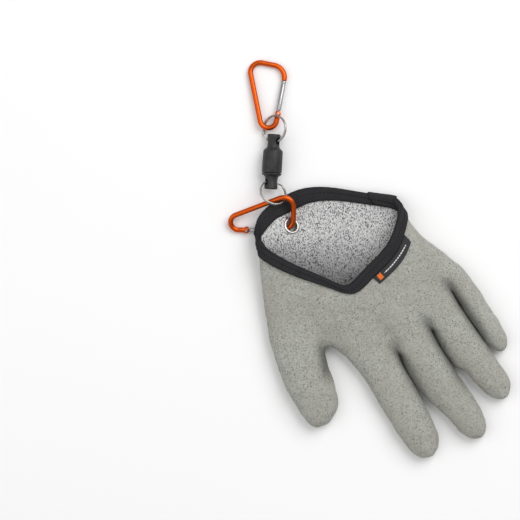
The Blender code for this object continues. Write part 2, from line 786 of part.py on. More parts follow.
def box(name, across, along, up, place):
    """A plain block between named limits."""
    corners = [place @ Vector((x, y, z)) for z in up for y in along for x in across]
    faces = [(0, 2, 3, 1), (4, 5, 7, 6), (0, 1, 5, 4), (2, 6, 7, 3), (0, 4, 6, 2), (1, 3, 7, 5)]
    return solid(name, corners, faces, "steel", smooth=False)


def gate(prefix, at_hinge, bore):
    """The gate: a round bar with a flat tongue that the rivet passes through."""
    start = HINGE_RADIUS + 2.0 * GAP
    end = gate_length() - GAP
    tongue_half = 0.5 * SLOT_WIDTH - GAP
    tongue_round = HINGE_RADIUS - TONGUE_INSET
    outline = [(start + TONGUE_IN_BAR, TONGUE_HALF_WIDTH)]
    for step in range(9):
        angle = math.radians(35.0 + (290.0 * step) / 8.0)
        outline.append((tongue_round * math.cos(angle), tongue_round * math.sin(angle)))
    outline.append((start + TONGUE_IN_BAR, -TONGUE_HALF_WIDTH))
    count = len(outline)
    points = [at_hinge @ Vector((x, y, z)) for z in (-tongue_half, tongue_half) for x, y in outline]
    faces = [tuple(reversed(range(count))), tuple(range(count, 2 * count))]
    for at in range(count):
        after = (at + 1) % count
        faces.append((at, after, after + count, at + count))
    tongue = solid(prefix + "_tongue", points, faces, "steel", smooth=False)
    lie = Matrix.Rotation(math.radians(90.0), 4, "Y")
    bar_profile = ((0, start), (GATE_RADIUS - GATE_EDGE, start), (GATE_RADIUS, start + GATE_EDGE),
                   (GATE_RADIUS, end - GATE_EDGE), (GATE_RADIUS - GATE_EDGE, end), (0, end))
    bar = spindle(prefix + "_carabiner_gate", bar_profile, 12, "steel", at_hinge @ lie)
    boolean(bar, cutter(tongue), "UNION")
    boolean(bar, bore, "DIFFERENCE")
    bar.data.transform(at_hinge.inverted())
    bar.matrix_world = at_hinge


def split_ring(name, centre, towards, across):
    """A closed ring of flat wire in the plane of two directions."""
    towards = towards.normalized()
    across = (across - towards * across.dot(towards)).normalized()
    normal = towards.cross(across)
    half_radial, half_axial = 0.5 * RING_WIRE_RADIAL, 0.5 * RING_WIRE_AXIAL
    section = ((half_radial, 0.6 * half_axial), (0.4 * half_radial, half_axial),
               (-half_radial, 0.8 * half_axial), (-half_radial, -0.8 * half_axial),
               (0.4 * half_radial, -half_axial), (half_radial, -0.6 * half_axial))
    path = []
    for step in range(RING_STEPS):
        angle = 2.0 * math.pi * step / RING_STEPS
        out = towards * math.cos(angle) + across * math.sin(angle)
        path.append((centre + out * RING_RADIUS, out, normal))
    return swept(name, path, section[::-1], "nickel", closed=True)


def along_z(direction, roll_to):
    """A turning that puts local Z along a direction and local X near another."""
    up = direction.normalized()
    side = (roll_to - up * roll_to.dot(up)).normalized()
    return Matrix((side, up.cross(side), up)).transposed().to_4x4()


def release(lower_hole, direction, lower_across, upper_across):
    """The magnetic release: the lower half's neck and shoulder, the upper half's barrel and neck."""
    end = lower_hole - direction * RELEASE_HOLE_FROM_END
    lower_place = Matrix.Translation(end) @ along_z(direction, lower_across)
    upper_place = Matrix.Translation(end) @ along_z(direction, upper_across)
    rim, radius, wide = RELEASE_EDGE, RELEASE_NECK_RADIUS, RELEASE_RADIUS
    split = RELEASE_LOWER_NECK + RELEASE_SHOULDER
    lower = spindle("release_lower_half", (
        (0, 0), (radius - rim, 0), (radius, rim), (radius, 0.25 * RELEASE_LOWER_NECK),
        (0.93 * radius, 0.6 * RELEASE_LOWER_NECK), (radius, RELEASE_LOWER_NECK),
        (wide - rim, split - 0.45 * RELEASE_SHOULDER), (wide, split - rim), (wide - rim, split),
        (0, split)), ROUND_SIDES, "black_plastic", lower_place)
    foot = split + GAP
    head = foot + RELEASE_BARREL
    neck = head + RELEASE_SHOULDER
    tip = neck + RELEASE_NECK
    upper = spindle("release_upper_half", (
        (0, foot), (wide - rim, foot), (wide, foot + rim), (0.98 * wide, head),
        (wide - 2.0 * rim, head + 0.5 * RELEASE_SHOULDER), (0.92 * radius, neck),
        (0.90 * radius, 0.5 * (neck + tip)), (radius, tip - 0.25 * RELEASE_NECK), (radius, tip - rim),
        (radius - rim, tip), (0, tip)), ROUND_SIDES, "black_plastic", upper_place)
    upper_hole_at = tip - RELEASE_HOLE_FROM_END
    for half, place, at, name in ((lower, lower_place, RELEASE_HOLE_FROM_END, "lower"),
                                  (upper, upper_place, upper_hole_at, "upper")):
        lie = place @ Matrix.Translation((0, 0, at)) @ Matrix.Rotation(math.radians(90.0), 4, "Y")
        hole = spindle(name + "_ring_hole", ((0, -2 * radius), (RELEASE_HOLE_RADIUS, -2 * radius),
                       (RELEASE_HOLE_RADIUS, 2 * radius), (0, 2 * radius)), 16, "black_plastic", lie)
        boolean(half, cutter(hole), "DIFFERENCE")
    return upper_place @ Vector((0, 0, upper_hole_at))


def level(heading):
    """A level direction at an angle from +X."""
    return Vector((math.cos(heading), math.sin(heading), 0.0))


def tilted(along, up):
    """A direction that climbs from the level by an angle."""
    return along * math.cos(up) + UP * math.sin(up)


def clip_turn(gate_way, spine_way):
    """A turning for a carabiner from where its gate leg runs and where its spine lies."""
    wide = gate_way * math.cos(LEG_LEAN) + spine_way * math.sin(LEG_LEAN)
    gate_side = gate_way * math.sin(LEG_LEAN) - spine_way * math.cos(LEG_LEAN)
    return Matrix((wide, gate_side, wide.cross(gate_side))).transposed().to_4x4()


def eyelet(centre, inward):
    """The eyelet: a flange on the knit, a barrel through both walls and a lip behind them."""
    through = COAT_WALL + GAP + LINER_WALL
    place = Matrix.Translation(centre) @ along_z(inward, Vector((1.0, 0.0, 0.0)))
    bore, barrel = EYELET_BORE, EYELET_BORE + EYELET_BARREL_WALL
    wall = EYELET_FLANGE_WALL
    seat, face = through + GAP, through + GAP + wall
    piece = turned("eyelet", (
        (bore + 1.2 * wall, -GAP - wall), (barrel + EYELET_LIP, -GAP - 0.8 * wall),
        (barrel + EYELET_LIP, -GAP), (barrel, -GAP), (barrel, seat), (EYELET_FLANGE, seat),
        (EYELET_FLANGE, seat + 0.5 * wall), (EYELET_FLANGE - wall, face), (bore + 1.4 * wall, face),
        (bore, seat - 0.5 * wall), (bore, -GAP)), ROUND_SIDES, "nickel", place)
    past = 1.4 * EYELET_FLANGE
    hole = spindle("eyelet_hole", ((0, -past), (barrel + GAP, -past), (barrel + GAP, past), (0, past)),
                   ROUND_SIDES, "nickel", place)
    for name in ("latex_coat", "knit_liner"):
        boolean(bpy.data.objects[name], hole, "DIFFERENCE")
    cutter(hole)


def clip_chain(centre):
    """Two carabiners with the rings and the release between them, from the eyelet upwards."""
    gate_way = tilted(level(LOWER_GATE_HEADING), LOWER_GATE_CLIMB)
    spine_way = tilted(level(LOWER_GATE_HEADING + math.radians(90.0)), LOWER_CLIP_TILT)
    spine_way = (spine_way - gate_way * spine_way.dot(gate_way)).normalized()
    spine_corner, gate_corner, pivot = frame_corners()[1:4]
    arc_centre, start, turn = corner_arc(pivot, gate_corner, spine_corner, GATE_CORNER_RADIUS)
    in_eyelet = arc_centre + Matrix.Rotation(math.copysign(EYELET_TURN, turn), 2) @ start
    turning = clip_turn(gate_way, spine_way)
    lower = Matrix.Translation(centre) @ turning @ Matrix.Translation((-in_eyelet.x, -in_eyelet.y, 0.0))
    carabiner("lower", lower)

    way = level(CHAIN_HEADING)
    right = level(CHAIN_HEADING - math.radians(90.0))
    on_spine = spine_corner - spine_corner.normalized() * LOWER_RING_ON_SPINE
    crossing = lower @ Vector((on_spine.x, on_spine.y, 0.0))
    grip = RING_RADIUS - RING_PLAY
    to_hole = tilted(level(CHAIN_HEADING + LOWER_RING_SWAY), -LOWER_RING_PITCH)
    lower_across = tilted(-right, LOWER_RING_ROLL)
    ring = crossing + way * LOWER_RING_ALONG + right * LOWER_RING_ACROSS
    ring.z = RELEASE_RADIUS + grip * math.sin(LOWER_RING_PITCH)
    split_ring("lower_split_ring", ring, to_hole, lower_across)

    upper_across = tilted(right, UPPER_RING_ROLL)
    upper_hole = release(ring + to_hole * grip, way, lower_across, upper_across)
    to_hole = tilted(-way, UPPER_RING_PITCH)
    ring = upper_hole - to_hole * grip
    split_ring("upper_split_ring", ring, to_hole, upper_across)

    drop = math.asin((UPPER_CLIP_LIFT - WIRE_RADIUS) / (CARABINER_LENGTH - 2.0 * WIRE_RADIUS))
    wide = tilted(level(UPPER_CLIP_HEADING), -drop)
    gate_side = level(UPPER_CLIP_HEADING - math.radians(90.0))
    turning = Matrix((wide, gate_side, wide.cross(gate_side))).transposed().to_4x4()
    narrow = ring + way * UPPER_CLIP_ALONG + right * UPPER_CLIP_ACROSS
    narrow.z = UPPER_CLIP_LIFT - NARROW_RADIUS * math.sin(drop)
    from_apex = NARROW_RADIUS / math.sin(LEG_LEAN)
    carabiner("upper", Matrix.Translation(narrow) @ turning @ Matrix.Translation((-from_apex, 0, 0)))


def stand_on_origin():
    """Set everything with the middle of its outline over the origin and its lowest point at zero."""
    graph = bpy.context.evaluated_depsgraph_get()
    corners = []
    for piece in bpy.data.objects:
        if not piece.hide_render:
            ready = piece.evaluated_get(graph)
            mesh = ready.to_mesh()
            corners += [ready.matrix_world @ vertex.co for vertex in mesh.vertices]
            ready.to_mesh_clear()
    low = Vector([min(corner[axis] for corner in corners) for axis in range(3)])
    high = Vector([max(corner[axis] for corner in corners) for axis in range(3)])
    shift = Vector((-0.5 * (low.x + high.x), -0.5 * (low.y + high.y), -low.z))
    for piece in bpy.data.objects:
        piece.matrix_world = Matrix.Translation(shift) @ piece.matrix_world


def main():
    for thing in list(bpy.data.objects):
        bpy.data.objects.remove(thing)
    surface = Surface(glove_cage(), 1)
    through = COAT_WALL + GAP + LINER_WALL
    left = palm_left() - CUFF_SET_LEFT
    centre = np.array((left + EYELET_FROM_LEFT, PALM_LENGTH - EYELET_FROM_RIM, EYELET_HEIGHT))
    outward = -np.array((math.sin(EYELET_TILT), 0.0, math.cos(EYELET_TILT)))
    surface.press_flat(centre, outward, SEAT_FLAT, SEAT_FADE)
    shell("latex_coat", surface, surface.triangles, 0.0, -COAT_WALL, "latex")
    inner = surface.select((PALM_ZONE, HEM_ZONE, OVERLAP_ZONE, LABEL_ZONE))
    shell("knit_liner", surface, inner, -(COAT_WALL + GAP), -through, "knit")
    tape("binding_tape", surface, (HEM_ZONE, OVERLAP_ZONE), GAP, TAPE_WALL, "tape")
    tape("binding_overlap", surface, (OVERLAP_ZONE,), 2.0 * GAP + TAPE_WALL, TAPE_WALL, "tape")
    patch, moved = label_patch(surface)
    shell("label_tab", surface, patch, GAP + LABEL_WALL, GAP, "label", moved)
    eyelet(Vector(centre), -Vector(outward))
    clip_chain(Vector(centre - 0.5 * through * outward))
    stand_on_origin()


if __name__ == "__main__":
    main()
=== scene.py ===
"""Fishing glove with a clip chain: the looks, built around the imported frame.

Metres, +Z up. -Y runs towards the fingertips and +X towards the little finger's side.
"""

import json
import math

import bmesh
import bpy
import numpy as np
from bpy.props import FloatProperty, FloatVectorProperty, IntProperty, PointerProperty
from mathutils import Matrix, Vector
from mathutils.bvhtree import BVHTree


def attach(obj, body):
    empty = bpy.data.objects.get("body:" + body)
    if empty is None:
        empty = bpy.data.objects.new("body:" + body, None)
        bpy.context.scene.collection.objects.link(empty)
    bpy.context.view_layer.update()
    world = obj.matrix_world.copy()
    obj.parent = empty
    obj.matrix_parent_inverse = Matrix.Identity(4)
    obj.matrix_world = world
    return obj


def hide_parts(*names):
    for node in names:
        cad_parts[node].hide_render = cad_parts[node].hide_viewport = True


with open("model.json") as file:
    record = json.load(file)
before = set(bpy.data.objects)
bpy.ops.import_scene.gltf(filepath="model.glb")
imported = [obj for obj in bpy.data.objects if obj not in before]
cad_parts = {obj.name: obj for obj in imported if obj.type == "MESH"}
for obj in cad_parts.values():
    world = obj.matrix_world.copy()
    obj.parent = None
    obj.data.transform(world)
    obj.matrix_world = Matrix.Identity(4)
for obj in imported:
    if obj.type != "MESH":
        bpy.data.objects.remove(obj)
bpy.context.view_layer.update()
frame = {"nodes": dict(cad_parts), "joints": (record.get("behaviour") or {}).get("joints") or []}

bl_info = {
    "name": "Fishing glove with clip chain",
    "version": (1, 0, 0),
    "blender": (4, 5, 0),
    "location": "3D View > Sidebar > Glove",
    "description": "Builds a coated fishing glove with a knit lining, a bound rim and a clip chain",
    "category": "Object",
}

MM = 0.001

# The middle line of the binding tape on the coat, all the way round: across, along and up, in mm
TAPE_LINE = np.array((
    (-28.0, 15.2, 24.7), (-35.1, 26.2, 23.1), (-40.5, 35.7, 21.0), (-44.2, 43.5, 18.5),
    (-45.2, 50.6, 15.9), (-42.6, 57.9, 13.5), (-36.7, 64.3, 11.8), (-28.0, 68.3, 10.8),
    (-18.6, 69.9, 9.6), (-3.6, 68.9, 3.0), (11.4, 66.8, 2.5), (28.3, 58.5, 2.5),
    (43.6, 46.0, 2.7), (57.2, 33.8, 3.2), (67.3, 25.1, 3.9), (73.3, 18.8, 6.3),
    (74.6, 12.1, 11.7), (69.9, 5.3, 17.9), (62.5, -1.1, 22.7), (52.6, -8.1, 25.4),
    (38.7, -13.5, 26.9), (20.4, -17.1, 27.4), (9.6, -20.3, 27.5), (0.3, -21.1, 27.5),
    (-5.8, -16.3, 27.1), (-11.5, -7.4, 26.5), (-19.4, 3.6, 25.8),
)) * MM

# Grooves that run from a crotch into the palm: start across and along, heading in degrees,
# length, depth and half width, in mm
GROOVES = (
    (5.8, -83.0, 88.0, 42.0, 2.6, 5.0),
    (39.4, -82.0, 100.0, 22.0, 2.2, 4.5),
    (71.0, -64.0, 112.0, 18.0, 1.8, 4.0),
    (-50.0, -50.0, 40.0, 22.0, 0.6, 7.0),
)

# Valleys between the fingers and in the thumb's crotch: start across and along, heading in degrees,
# length of the painted shade and half its width, then how far the finger beyond leans on the nearer one, in
# mm
VALLEYS = (
    (5.6, -79.0, -92.3, 84.0, 4.6, 46.0),
    (39.6, -76.0, -92.0, 84.0, 4.8, 50.0),
    (72.4, -58.0, -89.0, 84.0, 4.8, 54.0),
    (-44.5, -46.0, -113.0, 38.0, 5.5, 0.0),
)

# Half the length of valley over which one place's flank is looked for, and the step to the next, in mm
LEAN_BIN = 3.0

# The photograph's up and right, as directions on the surface
PHOTO_UP = np.array((0.5446, 0.8387, 0.0))
PHOTO_RIGHT = np.array((0.8387, -0.5446, 0.0))

# The eyelet's closed profile: radius and height from the barrel's foot, in mm
BEND = np.linspace(0.0, 0.5 * math.pi, 6)
EYELET = (
    (7.2, 2.6), *((6.3 + 0.9 * math.cos(t), 2.6 + 0.7 * math.sin(t)) for t in BEND),
    *((5.6 - 0.9 * math.sin(t), 2.3 + math.cos(t)) for t in BEND), (4.7, 1.6), (4.7, -0.3),
    *((5.3 + 1.1 * math.sin(t), -0.8 - 0.2 * math.cos(t)) for t in BEND),
    (6.4, -0.3), (5.1, -0.3), (5.1, 2.6),
)

# The release's halves, turned: radius and height from the foot of each, in mm
RELEASE = {
    "lower": ((0, 0), (4.6, 0), (5.2, 0.2), (5.6, 0.7), (5.6, 2.2), (5.4, 3.6), (5.2, 5.5), (5.15, 7.5),
              (5.3, 9.2), (5.7, 10.6), (6.6, 11.3), (7.7, 11.9), (8.2, 12.5), (8.35, 13.0),
              (8.2, 13.45), (7.8, 13.6), (0, 13.6)),
    "upper": ((0, 0), (7.8, 0), (8.2, 0.15), (8.4, 0.6), (8.38, 9.0), (8.25, 17.6), (8.0, 18.5),
              (7.3, 19.3), (6.3, 20.2), (5.5, 21.0), (5.1, 22.0), (5.0, 24.0), (5.05, 26.5),
              (5.35, 28.6), (5.6, 30.0), (5.6, 31.4), (5.3, 32.1), (4.6, 32.4), (0, 32.4)),
}

# The hole that a split ring passes through, turned about its own axis: radius and place along it, in mm
RING_HOLE = ((0, -7.0), (3.5, -7.0), (3.2, -5.2), (2.8, -4.4), (2.8, 4.4), (3.2, 5.2), (3.5, 7.0), (0, 7.0))
HOLE_FROM_END = 6.0 * MM


def unit(vectors):
    """Each vector over its length."""
    return vectors / np.linalg.norm(vectors, axis=-1, keepdims=True)


class Bench:
    """A material's node tree, with one way to add a node."""

    def __init__(self, name):
        self.material = bpy.data.materials.new(name)
        self.material.use_nodes = True
        self.tree = self.material.node_tree
        self.shader = self.tree.nodes["Principled BSDF"]

    def node(self, kind, settings=None, inputs=None, output=0):
        """A node of a kind, its settings made first, then its sockets' values or links."""
        made = self.tree.nodes.new(kind)
        for key, value in (settings or {}).items():
            if key == "stops":
                ramp = made.color_ramp.elements
                while len(ramp) < len(value):
                    ramp.new(0.5)
                for element, (place, colour) in zip(ramp, value):
                    element.position = place
                    element.color = (*colour, 1.0)
            else:
                setattr(made, key, value)
        for key, value in (inputs or {}).items():
            self.feed(made.inputs[key], value)
        return Wire(self, made.outputs[output])

    def feed(self, socket, value):
        """Link a wire to a socket, or set its value, a colour's without its alpha."""
        if isinstance(value, Wire):
            self.tree.links.new(value.socket, socket)
        elif socket.type == "RGBA":
            socket.default_value = (*value, 1.0)
        else:
            socket.default_value = value

    def finish(self, **sockets):
        """Feed the shader's sockets, named with underscores for spaces."""
        for key, value in sockets.items():
            self.feed(self.shader.inputs[key.replace("_", " ")], value)
        return self.material

    def place(self, scale=1.0, turn=(0.0, 0.0, 0.0)):
        """Object coordinates, turned and scaled."""
        spot = self.node("ShaderNodeTexCoord", output="Object")
        return self.node("ShaderNodeMapping", inputs={
            "Vector": spot, "Rotation": turn, "Scale": (scale, scale, scale)})

    def noise(self, scale, detail=2.0, distortion=0.0, roughness=0.5, spot=None):
        """Noise from 0 to 1 at so many cells a metre."""
        spot = spot or self.place()
        return self.node("ShaderNodeTexNoise", inputs={
            "Vector": spot, "Scale": scale, "Detail": detail,
            "Distortion": distortion, "Roughness": roughness})

    def mix(self, share, first, second):
        """A colour between two."""
        return self.node("ShaderNodeMix", {"data_type": "RGBA"}, {
            0: share, 6: first, 7: second}, output=2)

    def bump(self, height, distance, strength):
        """A normal from a height over a distance in metres."""
        return self.node("ShaderNodeBump", inputs={
            "Height": height, "Distance": distance, "Strength": strength})


class Wire:
    """A value in a material: arithmetic on it adds Math nodes."""

    def __init__(self, bench, socket):
        self.bench = bench
        self.socket = socket

    def maths(self, operation, *values):
        """A Math node of this value and others."""
        return self.bench.node("ShaderNodeMath", {"operation": operation}, dict(enumerate((self, *values))))

    def __add__(self, other):
        return self.maths("ADD", other)

    def __radd__(self, other):
        return self.maths("ADD", other)

    def __sub__(self, other):
        return self.maths("SUBTRACT", other)

    def __rsub__(self, other):
        return self.maths("MULTIPLY_ADD", -1.0, other)

    def __mul__(self, other):
        return self.maths("MULTIPLY", other)

    def __pow__(self, other):
        return self.maths("POWER", other)

    def between(self, low, high):
        """0 below low and 1 above high, smoothly in between."""
        return self.bench.node("ShaderNodeMapRange", {"interpolation_type": "SMOOTHSTEP"}, {
            "Value": self, "From Min": low, "From Max": high})

    def inside(self, low, high, soft=0.0003):
        """1 from low to high and 0 outside, smoothly over a width at each end."""
        return self.between(low, low + soft) * (1.0 - self.between(high, high + soft))

    def parts(self):
        """A vector's three values."""
        split = self.bench.node("ShaderNodeSeparateXYZ", inputs={"Vector": self}).socket.node
        return [Wire(self.bench, split.outputs[at]) for at in range(3)]


def latex_finish(sizes):
    """Crinkled matt latex: fine meandering ridges on softer lumps, with painted shade off the ridges and in
    the valleys between the fingers.
    """
    bench = Bench("crinkled_latex")
    crinkle = bench.noise(1.0 / sizes.crinkle, 3.0, 0.9, 0.55)
    worm = 1.0 - ((crinkle - 0.5).maths("ABSOLUTE") * 5.0).between(0.0, 1.0)
    grain = bench.noise(4.2 / sizes.crinkle)
    lump = bench.noise(0.30 / sizes.crinkle)
    cloud = bench.noise(42.0, 3.0)
    height = worm * 0.6 + crinkle * 0.8 + grain * 0.25 + lump * 0.8
    pale = np.array(sizes.latex)
    # Partly painted shade: the latex darkens off the crinkle's ridges, where its bump is low; partly a
    # random grain tone.
    base = bench.mix((worm * 0.45 + grain * 0.55).between(0.22, 0.78),
                     pale * 0.48, np.minimum(pale * 1.46, 1.0))
    tint_and_shade = bench.mix(cloud.between(0.35, 0.7) * 0.35, base, pale * np.array((1.06, 0.99, 0.94)))
    # Painted shade: the valleys between the fingers and in the thumb's crotch are darkened towards a dark
    # grey.
    valley = bench.node("ShaderNodeAttribute", {"attribute_name": "valley"}, output="Fac")
    tint_and_shade = bench.mix(valley * 0.70, tint_and_shade, pale * 0.16)
    return bench.finish(
        Base_Color=tint_and_shade, Roughness=0.62 + grain * 0.2, Specular_IOR_Level=0.35,
        Normal=bench.bump(height, sizes.crinkle_depth, 0.85))


def knit_finish(sizes):
    """Melange knit: columns of slanting stitch legs, each leg its own shade of yarn, with painted shade
    between the legs and deeper in the glove.

    u runs across the columns and v along them, both counted in stitches. A leg's row is
    floor(v + slope * |u - middle|), so the legs of a column meet in a V.
    """
    bench = Bench("melange_knit")
    spot = bench.place(1.0 / sizes.stitch_width, (0.0, 0.0, math.radians(27.0)))
    swim = bench.noise(0.35, spot=spot)
    across, along, _ = spot.parts()
    u = across + swim * 0.5
    half = (u.maths("FRACT") - 0.5).maths("ABSOLUTE")
    v = along * 1.35 + half * 1.5 + swim * 0.4
    leg = (u * 2.0).maths("FLOOR")
    row = v.maths("FLOOR")
    cell = bench.node("ShaderNodeCombineXYZ", inputs={0: leg, 1: row})
    shade = bench.node("ShaderNodeTexWhiteNoise", {"noise_dimensions": "2D"}, {"Vector": cell})
    fibre = bench.noise(2600.0, spot=bench.place(1.0, (0.0, 0.0, math.radians(27.0))))
    body = (v.maths("FRACT") - 0.5).maths("ABSOLUTE")
    gap = (half * 2.0 - 0.5).maths("ABSOLUTE")
    round_leg = 1.0 - (body * 2.0) ** 2.0
    seat = 1.0 - (gap * 2.0) ** 3.0
    tone = shade * 0.72 + fibre * 0.34
    yarn = bench.node("ShaderNodeValToRGB", {"stops": (
        (0.0, (0.02, 0.02, 0.022)), (0.24, (0.10, 0.10, 0.104)), (0.34, (0.52, 0.52, 0.52)),
        (0.50, (0.90, 0.90, 0.895)), (0.88, (1.0, 1.0, 0.99)))}, {0: tone})
    # Painted shade: the yarn darkens where the stitch legs' bump is low, in the gaps between the legs.
    shaded_knit = bench.mix((round_leg * seat).between(-0.25, 0.45), (0.07, 0.07, 0.073), yarn)
    height = round_leg * seat + fibre * 0.25
    # Painted shade: the lining darkens towards near black the deeper it lies in the glove.
    depth = bench.node("ShaderNodeAttribute", {"attribute_name": "depth"}, output="Fac")
    shaded_knit = bench.mix(depth * 0.62, shaded_knit, (0.035, 0.035, 0.037))
    return bench.finish(Base_Color=shaded_knit, Roughness=0.95, Specular_IOR_Level=0.15,
                        Normal=bench.bump(height, sizes.stitch_width * 0.28, 0.9))


def tape_finish(sizes):
    """Black woven tape: fine cross ribs along its run and fuzz."""
    bench = Bench("woven_tape")
    run, across, _ = bench.node("ShaderNodeUVMap", {"uv_map": "tape"}).parts()
    rib = (run * (2.0 * math.pi / sizes.tape_rib)).maths("SINE")
    warp = (across * (2.0 * math.pi / (0.8 * sizes.tape_rib))).maths("SINE")
    fuzz = bench.noise(1900.0, 3.0)
    patch = bench.noise(160.0, 2.0)
    tape = np.array(sizes.tape)
    base = bench.mix(fuzz.between(0.35, 0.75) * 0.7 + patch * 0.2, tape * 0.6, tape * 2.0)
    return bench.finish(Base_Color=base, Roughness=0.78 + fuzz * 0.2, Specular_IOR_Level=0.3,
                        Normal=bench.bump(rib * 0.5 + warp * 0.3 + fuzz * 0.9, 0.00012, 0.9))


def thread_finish(sizes):
    """Twisted sewing thread."""
    bench = Bench("sewing_thread")
    ply = bench.noise(2600.0, 2.0)
    tape = np.array(sizes.tape)
    return bench.finish(Base_Color=bench.mix(ply, tape * 0.5, tape * 2.4), Roughness=0.6,
                        Normal=bench.bump(ply, 0.0001, 0.8))


def label_finish():
    """Black satin label: a plain orange band near one end and a pale line of stitching."""
    bench = Bench("woven_label")
    run, across, _ = bench.node("ShaderNodeUVMap", {"uv_map": "label"}).parts()
    warp = (run * (2.0 * math.pi / 0.00042)).maths("SINE")
    weft = (across * (2.0 * math.pi / 0.00055)).maths("SINE")
    fuzz = bench.noise(2200.0, 2.0)
    band = run.inside(0.0036, 0.0078) * across.inside(0.0012, 0.0062)
    dash = (run * (1.0 / 0.0022)).maths("FRACT").between(0.22, 0.30)
    line = dash * across.inside(0.0034, 0.0043) * run.inside(0.0105, 0.0365)
    ground = bench.mix(fuzz, (0.012, 0.012, 0.014), (0.038, 0.038, 0.042))
    banded = bench.mix(band, ground, (0.75, 0.16, 0.02))
    lined = bench.mix(line, banded, (0.72, 0.72, 0.70))
    height = warp * 0.4 + weft * 0.4 + fuzz * 0.5 + (band + line) * 1.5
    return bench.finish(Base_Color=lined, Roughness=0.7, Specular_IOR_Level=0.4,
                        Normal=bench.bump(height, 0.00008, 0.8))


def nickel_finish():
    """Plated nickel, bright with faint smears and fine scratches."""
    bench = Bench("plated_nickel")
    smear = bench.noise(260.0, 3.0)
    scratch = bench.noise(1800.0, 2.0, 1.5)
    base = bench.mix(smear, (0.34, 0.33, 0.31), (0.50, 0.49, 0.465))
    return bench.finish(Base_Color=base, Metallic=1.0, Roughness=0.17 + smear * 0.12 + scratch * 0.08,
                        Normal=bench.bump(scratch, 0.00002, 0.5))


def steel_finish():
    """Bright drawn steel with lengthwise lines."""
    bench = Bench("drawn_steel")
    line = bench.noise(1500.0, 3.0, 0.6)
    base = bench.mix(line, (0.34, 0.34, 0.345), (0.52, 0.52, 0.53))
    return bench.finish(Base_Color=base, Metallic=1.0, Roughness=0.30 + line * 0.14,
                        Normal=bench.bump(line, 0.00002, 0.5))


def orange_finish(sizes):
    """Anodised alloy: bright orange under a clear skin, rubbed paler in small spots."""
    bench = Bench("orange_anodised")
    cloud = bench.noise(210.0, 3.0)
    speck = bench.noise(1400.0, 2.0)
    orange = np.array(sizes.orange)
    base = bench.mix(cloud, orange * 0.86, orange * 1.10)
    worn = bench.mix(speck.between(0.68, 0.80) * 0.18, base, (0.85, 0.42, 0.20))
    return bench.finish(Base_Color=worn, Metallic=0.92, Roughness=0.27 + cloud * 0.12 + speck * 0.05,
                        Coat_Weight=0.08, Coat_Roughness=0.12, Normal=bench.bump(speck, 0.00002, 0.4))


def plastic_finish():
    """Moulded matt black plastic with a fine spark-eroded grain."""
    bench = Bench("moulded_plastic")
    grain = bench.noise(2600.0, 3.0)
    rub = bench.noise(240.0, 3.0)
    base = bench.mix(rub.between(0.3, 0.8), (0.010, 0.010, 0.011), (0.024, 0.024, 0.025))
    return bench.finish(Base_Color=base, Roughness=0.42 + grain * 0.16 + rub * 0.08,
                        Specular_IOR_Level=0.5, Normal=bench.bump(grain, 0.00004, 0.7))


def new_object(name, data):
    """An object of some data, linked to the scene."""
    made = bpy.data.objects.new(name, data)
    bpy.context.scene.collection.objects.link(made)
    return made


def with_modifiers(thing):
    """An object's mesh after its modifiers."""
    return bpy.data.meshes.new_from_object(thing.evaluated_get(bpy.context.evaluated_depsgraph_get()))


def grid_faces(rows, columns, rows_close=False, columns_close=True):
    """Quads (i, j), (i, j + 1), (i + 1, j + 1), (i + 1, j) of a grid, all at once."""
    i, j = np.meshgrid(np.arange(rows - (not rows_close)), np.arange(columns - (not columns_close)),
                       indexing="ij")
    i, j = i.ravel(), j.ravel()
    ahead, beside = (i + 1) % rows, (j + 1) % columns
    return np.stack((i * columns + j, i * columns + beside, ahead * columns + beside,
                     ahead * columns + j), axis=1)


def mesh_of(name, shapes):
    """One closed mesh of several grids of points and faces, poles and seams merged, facing out."""
    points, faces, start = [], [], 0
    for shape_points, shape_faces in shapes:
        flat = np.asarray(shape_points).reshape(-1, 3)
        points.append(flat)
        faces.append(shape_faces + start)
        start += len(flat)
    mesh = bpy.data.meshes.new(name)
    mesh.from_pydata(np.vstack(points).tolist(), [], np.vstack(faces).tolist())
    work = bmesh.new()
    work.from_mesh(mesh)
    bmesh.ops.remove_doubles(work, verts=work.verts, dist=1e-7)
    bmesh.ops.dissolve_degenerate(work, edges=work.edges, dist=1e-8)
    bmesh.ops.recalc_face_normals(work, faces=work.faces)
    work.to_mesh(mesh)
    work.free()
    return mesh


def show(mesh, finish, replaces=(), body="glove", corner=60.0):
    """A finished piece: smooth but for its corners, riding on a body."""
    mesh.shade_smooth()
    mesh.set_sharp_from_angle(angle=math.radians(corner))
    piece = new_object(mesh.name, mesh)
    mesh.materials.clear()
    mesh.materials.append(finish)
    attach(piece, body)
    if replaces:
        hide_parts(*replaces)


def lathe(profile, sides, centre, axis, across, loop=False):
    """centre + r (cos t across + sin t beside) + h axis, over profile (r, h) and angle t."""
    profile = np.asarray(profile)
    ray = circle(1.0, sides) @ np.stack((across, np.cross(axis, across)))
    points = centre + profile[:, None, :1] * ray[None] + profile[:, None, 1:] * axis
    return points, grid_faces(len(profile), sides, rows_close=loop)


def sweep(points, sides, ups, section):
    """point(s) + a(t) side(s) + b(t) up(s), over path s and section (a, b) at t.

    It is closed at both ends by a section shrunk to its middle.
    """
    section = np.broadcast_to(section, (len(points), *section.shape[-2:]))
    sides, ups = (np.broadcast_to(part, points.shape) for part in (sides, ups))
    points, sides, ups = (np.concatenate((part[:1], part, part[-1:])) for part in (points, sides, ups))
    section = np.concatenate((section[:1] * 0.0, section, section[-1:] * 0.0))
    grid = points[:, None] + sides[:, None] * section[..., :1] + ups[:, None] * section[..., 1:]
    return grid, grid_faces(len(points), section.shape[1])


def circle(radius, sides):
    """(radius cos t, radius sin t)."""
    angle = np.linspace(0.0, 2.0 * math.pi, sides, endpoint=False)
    return radius * np.stack((np.cos(angle), np.sin(angle)), axis=1)


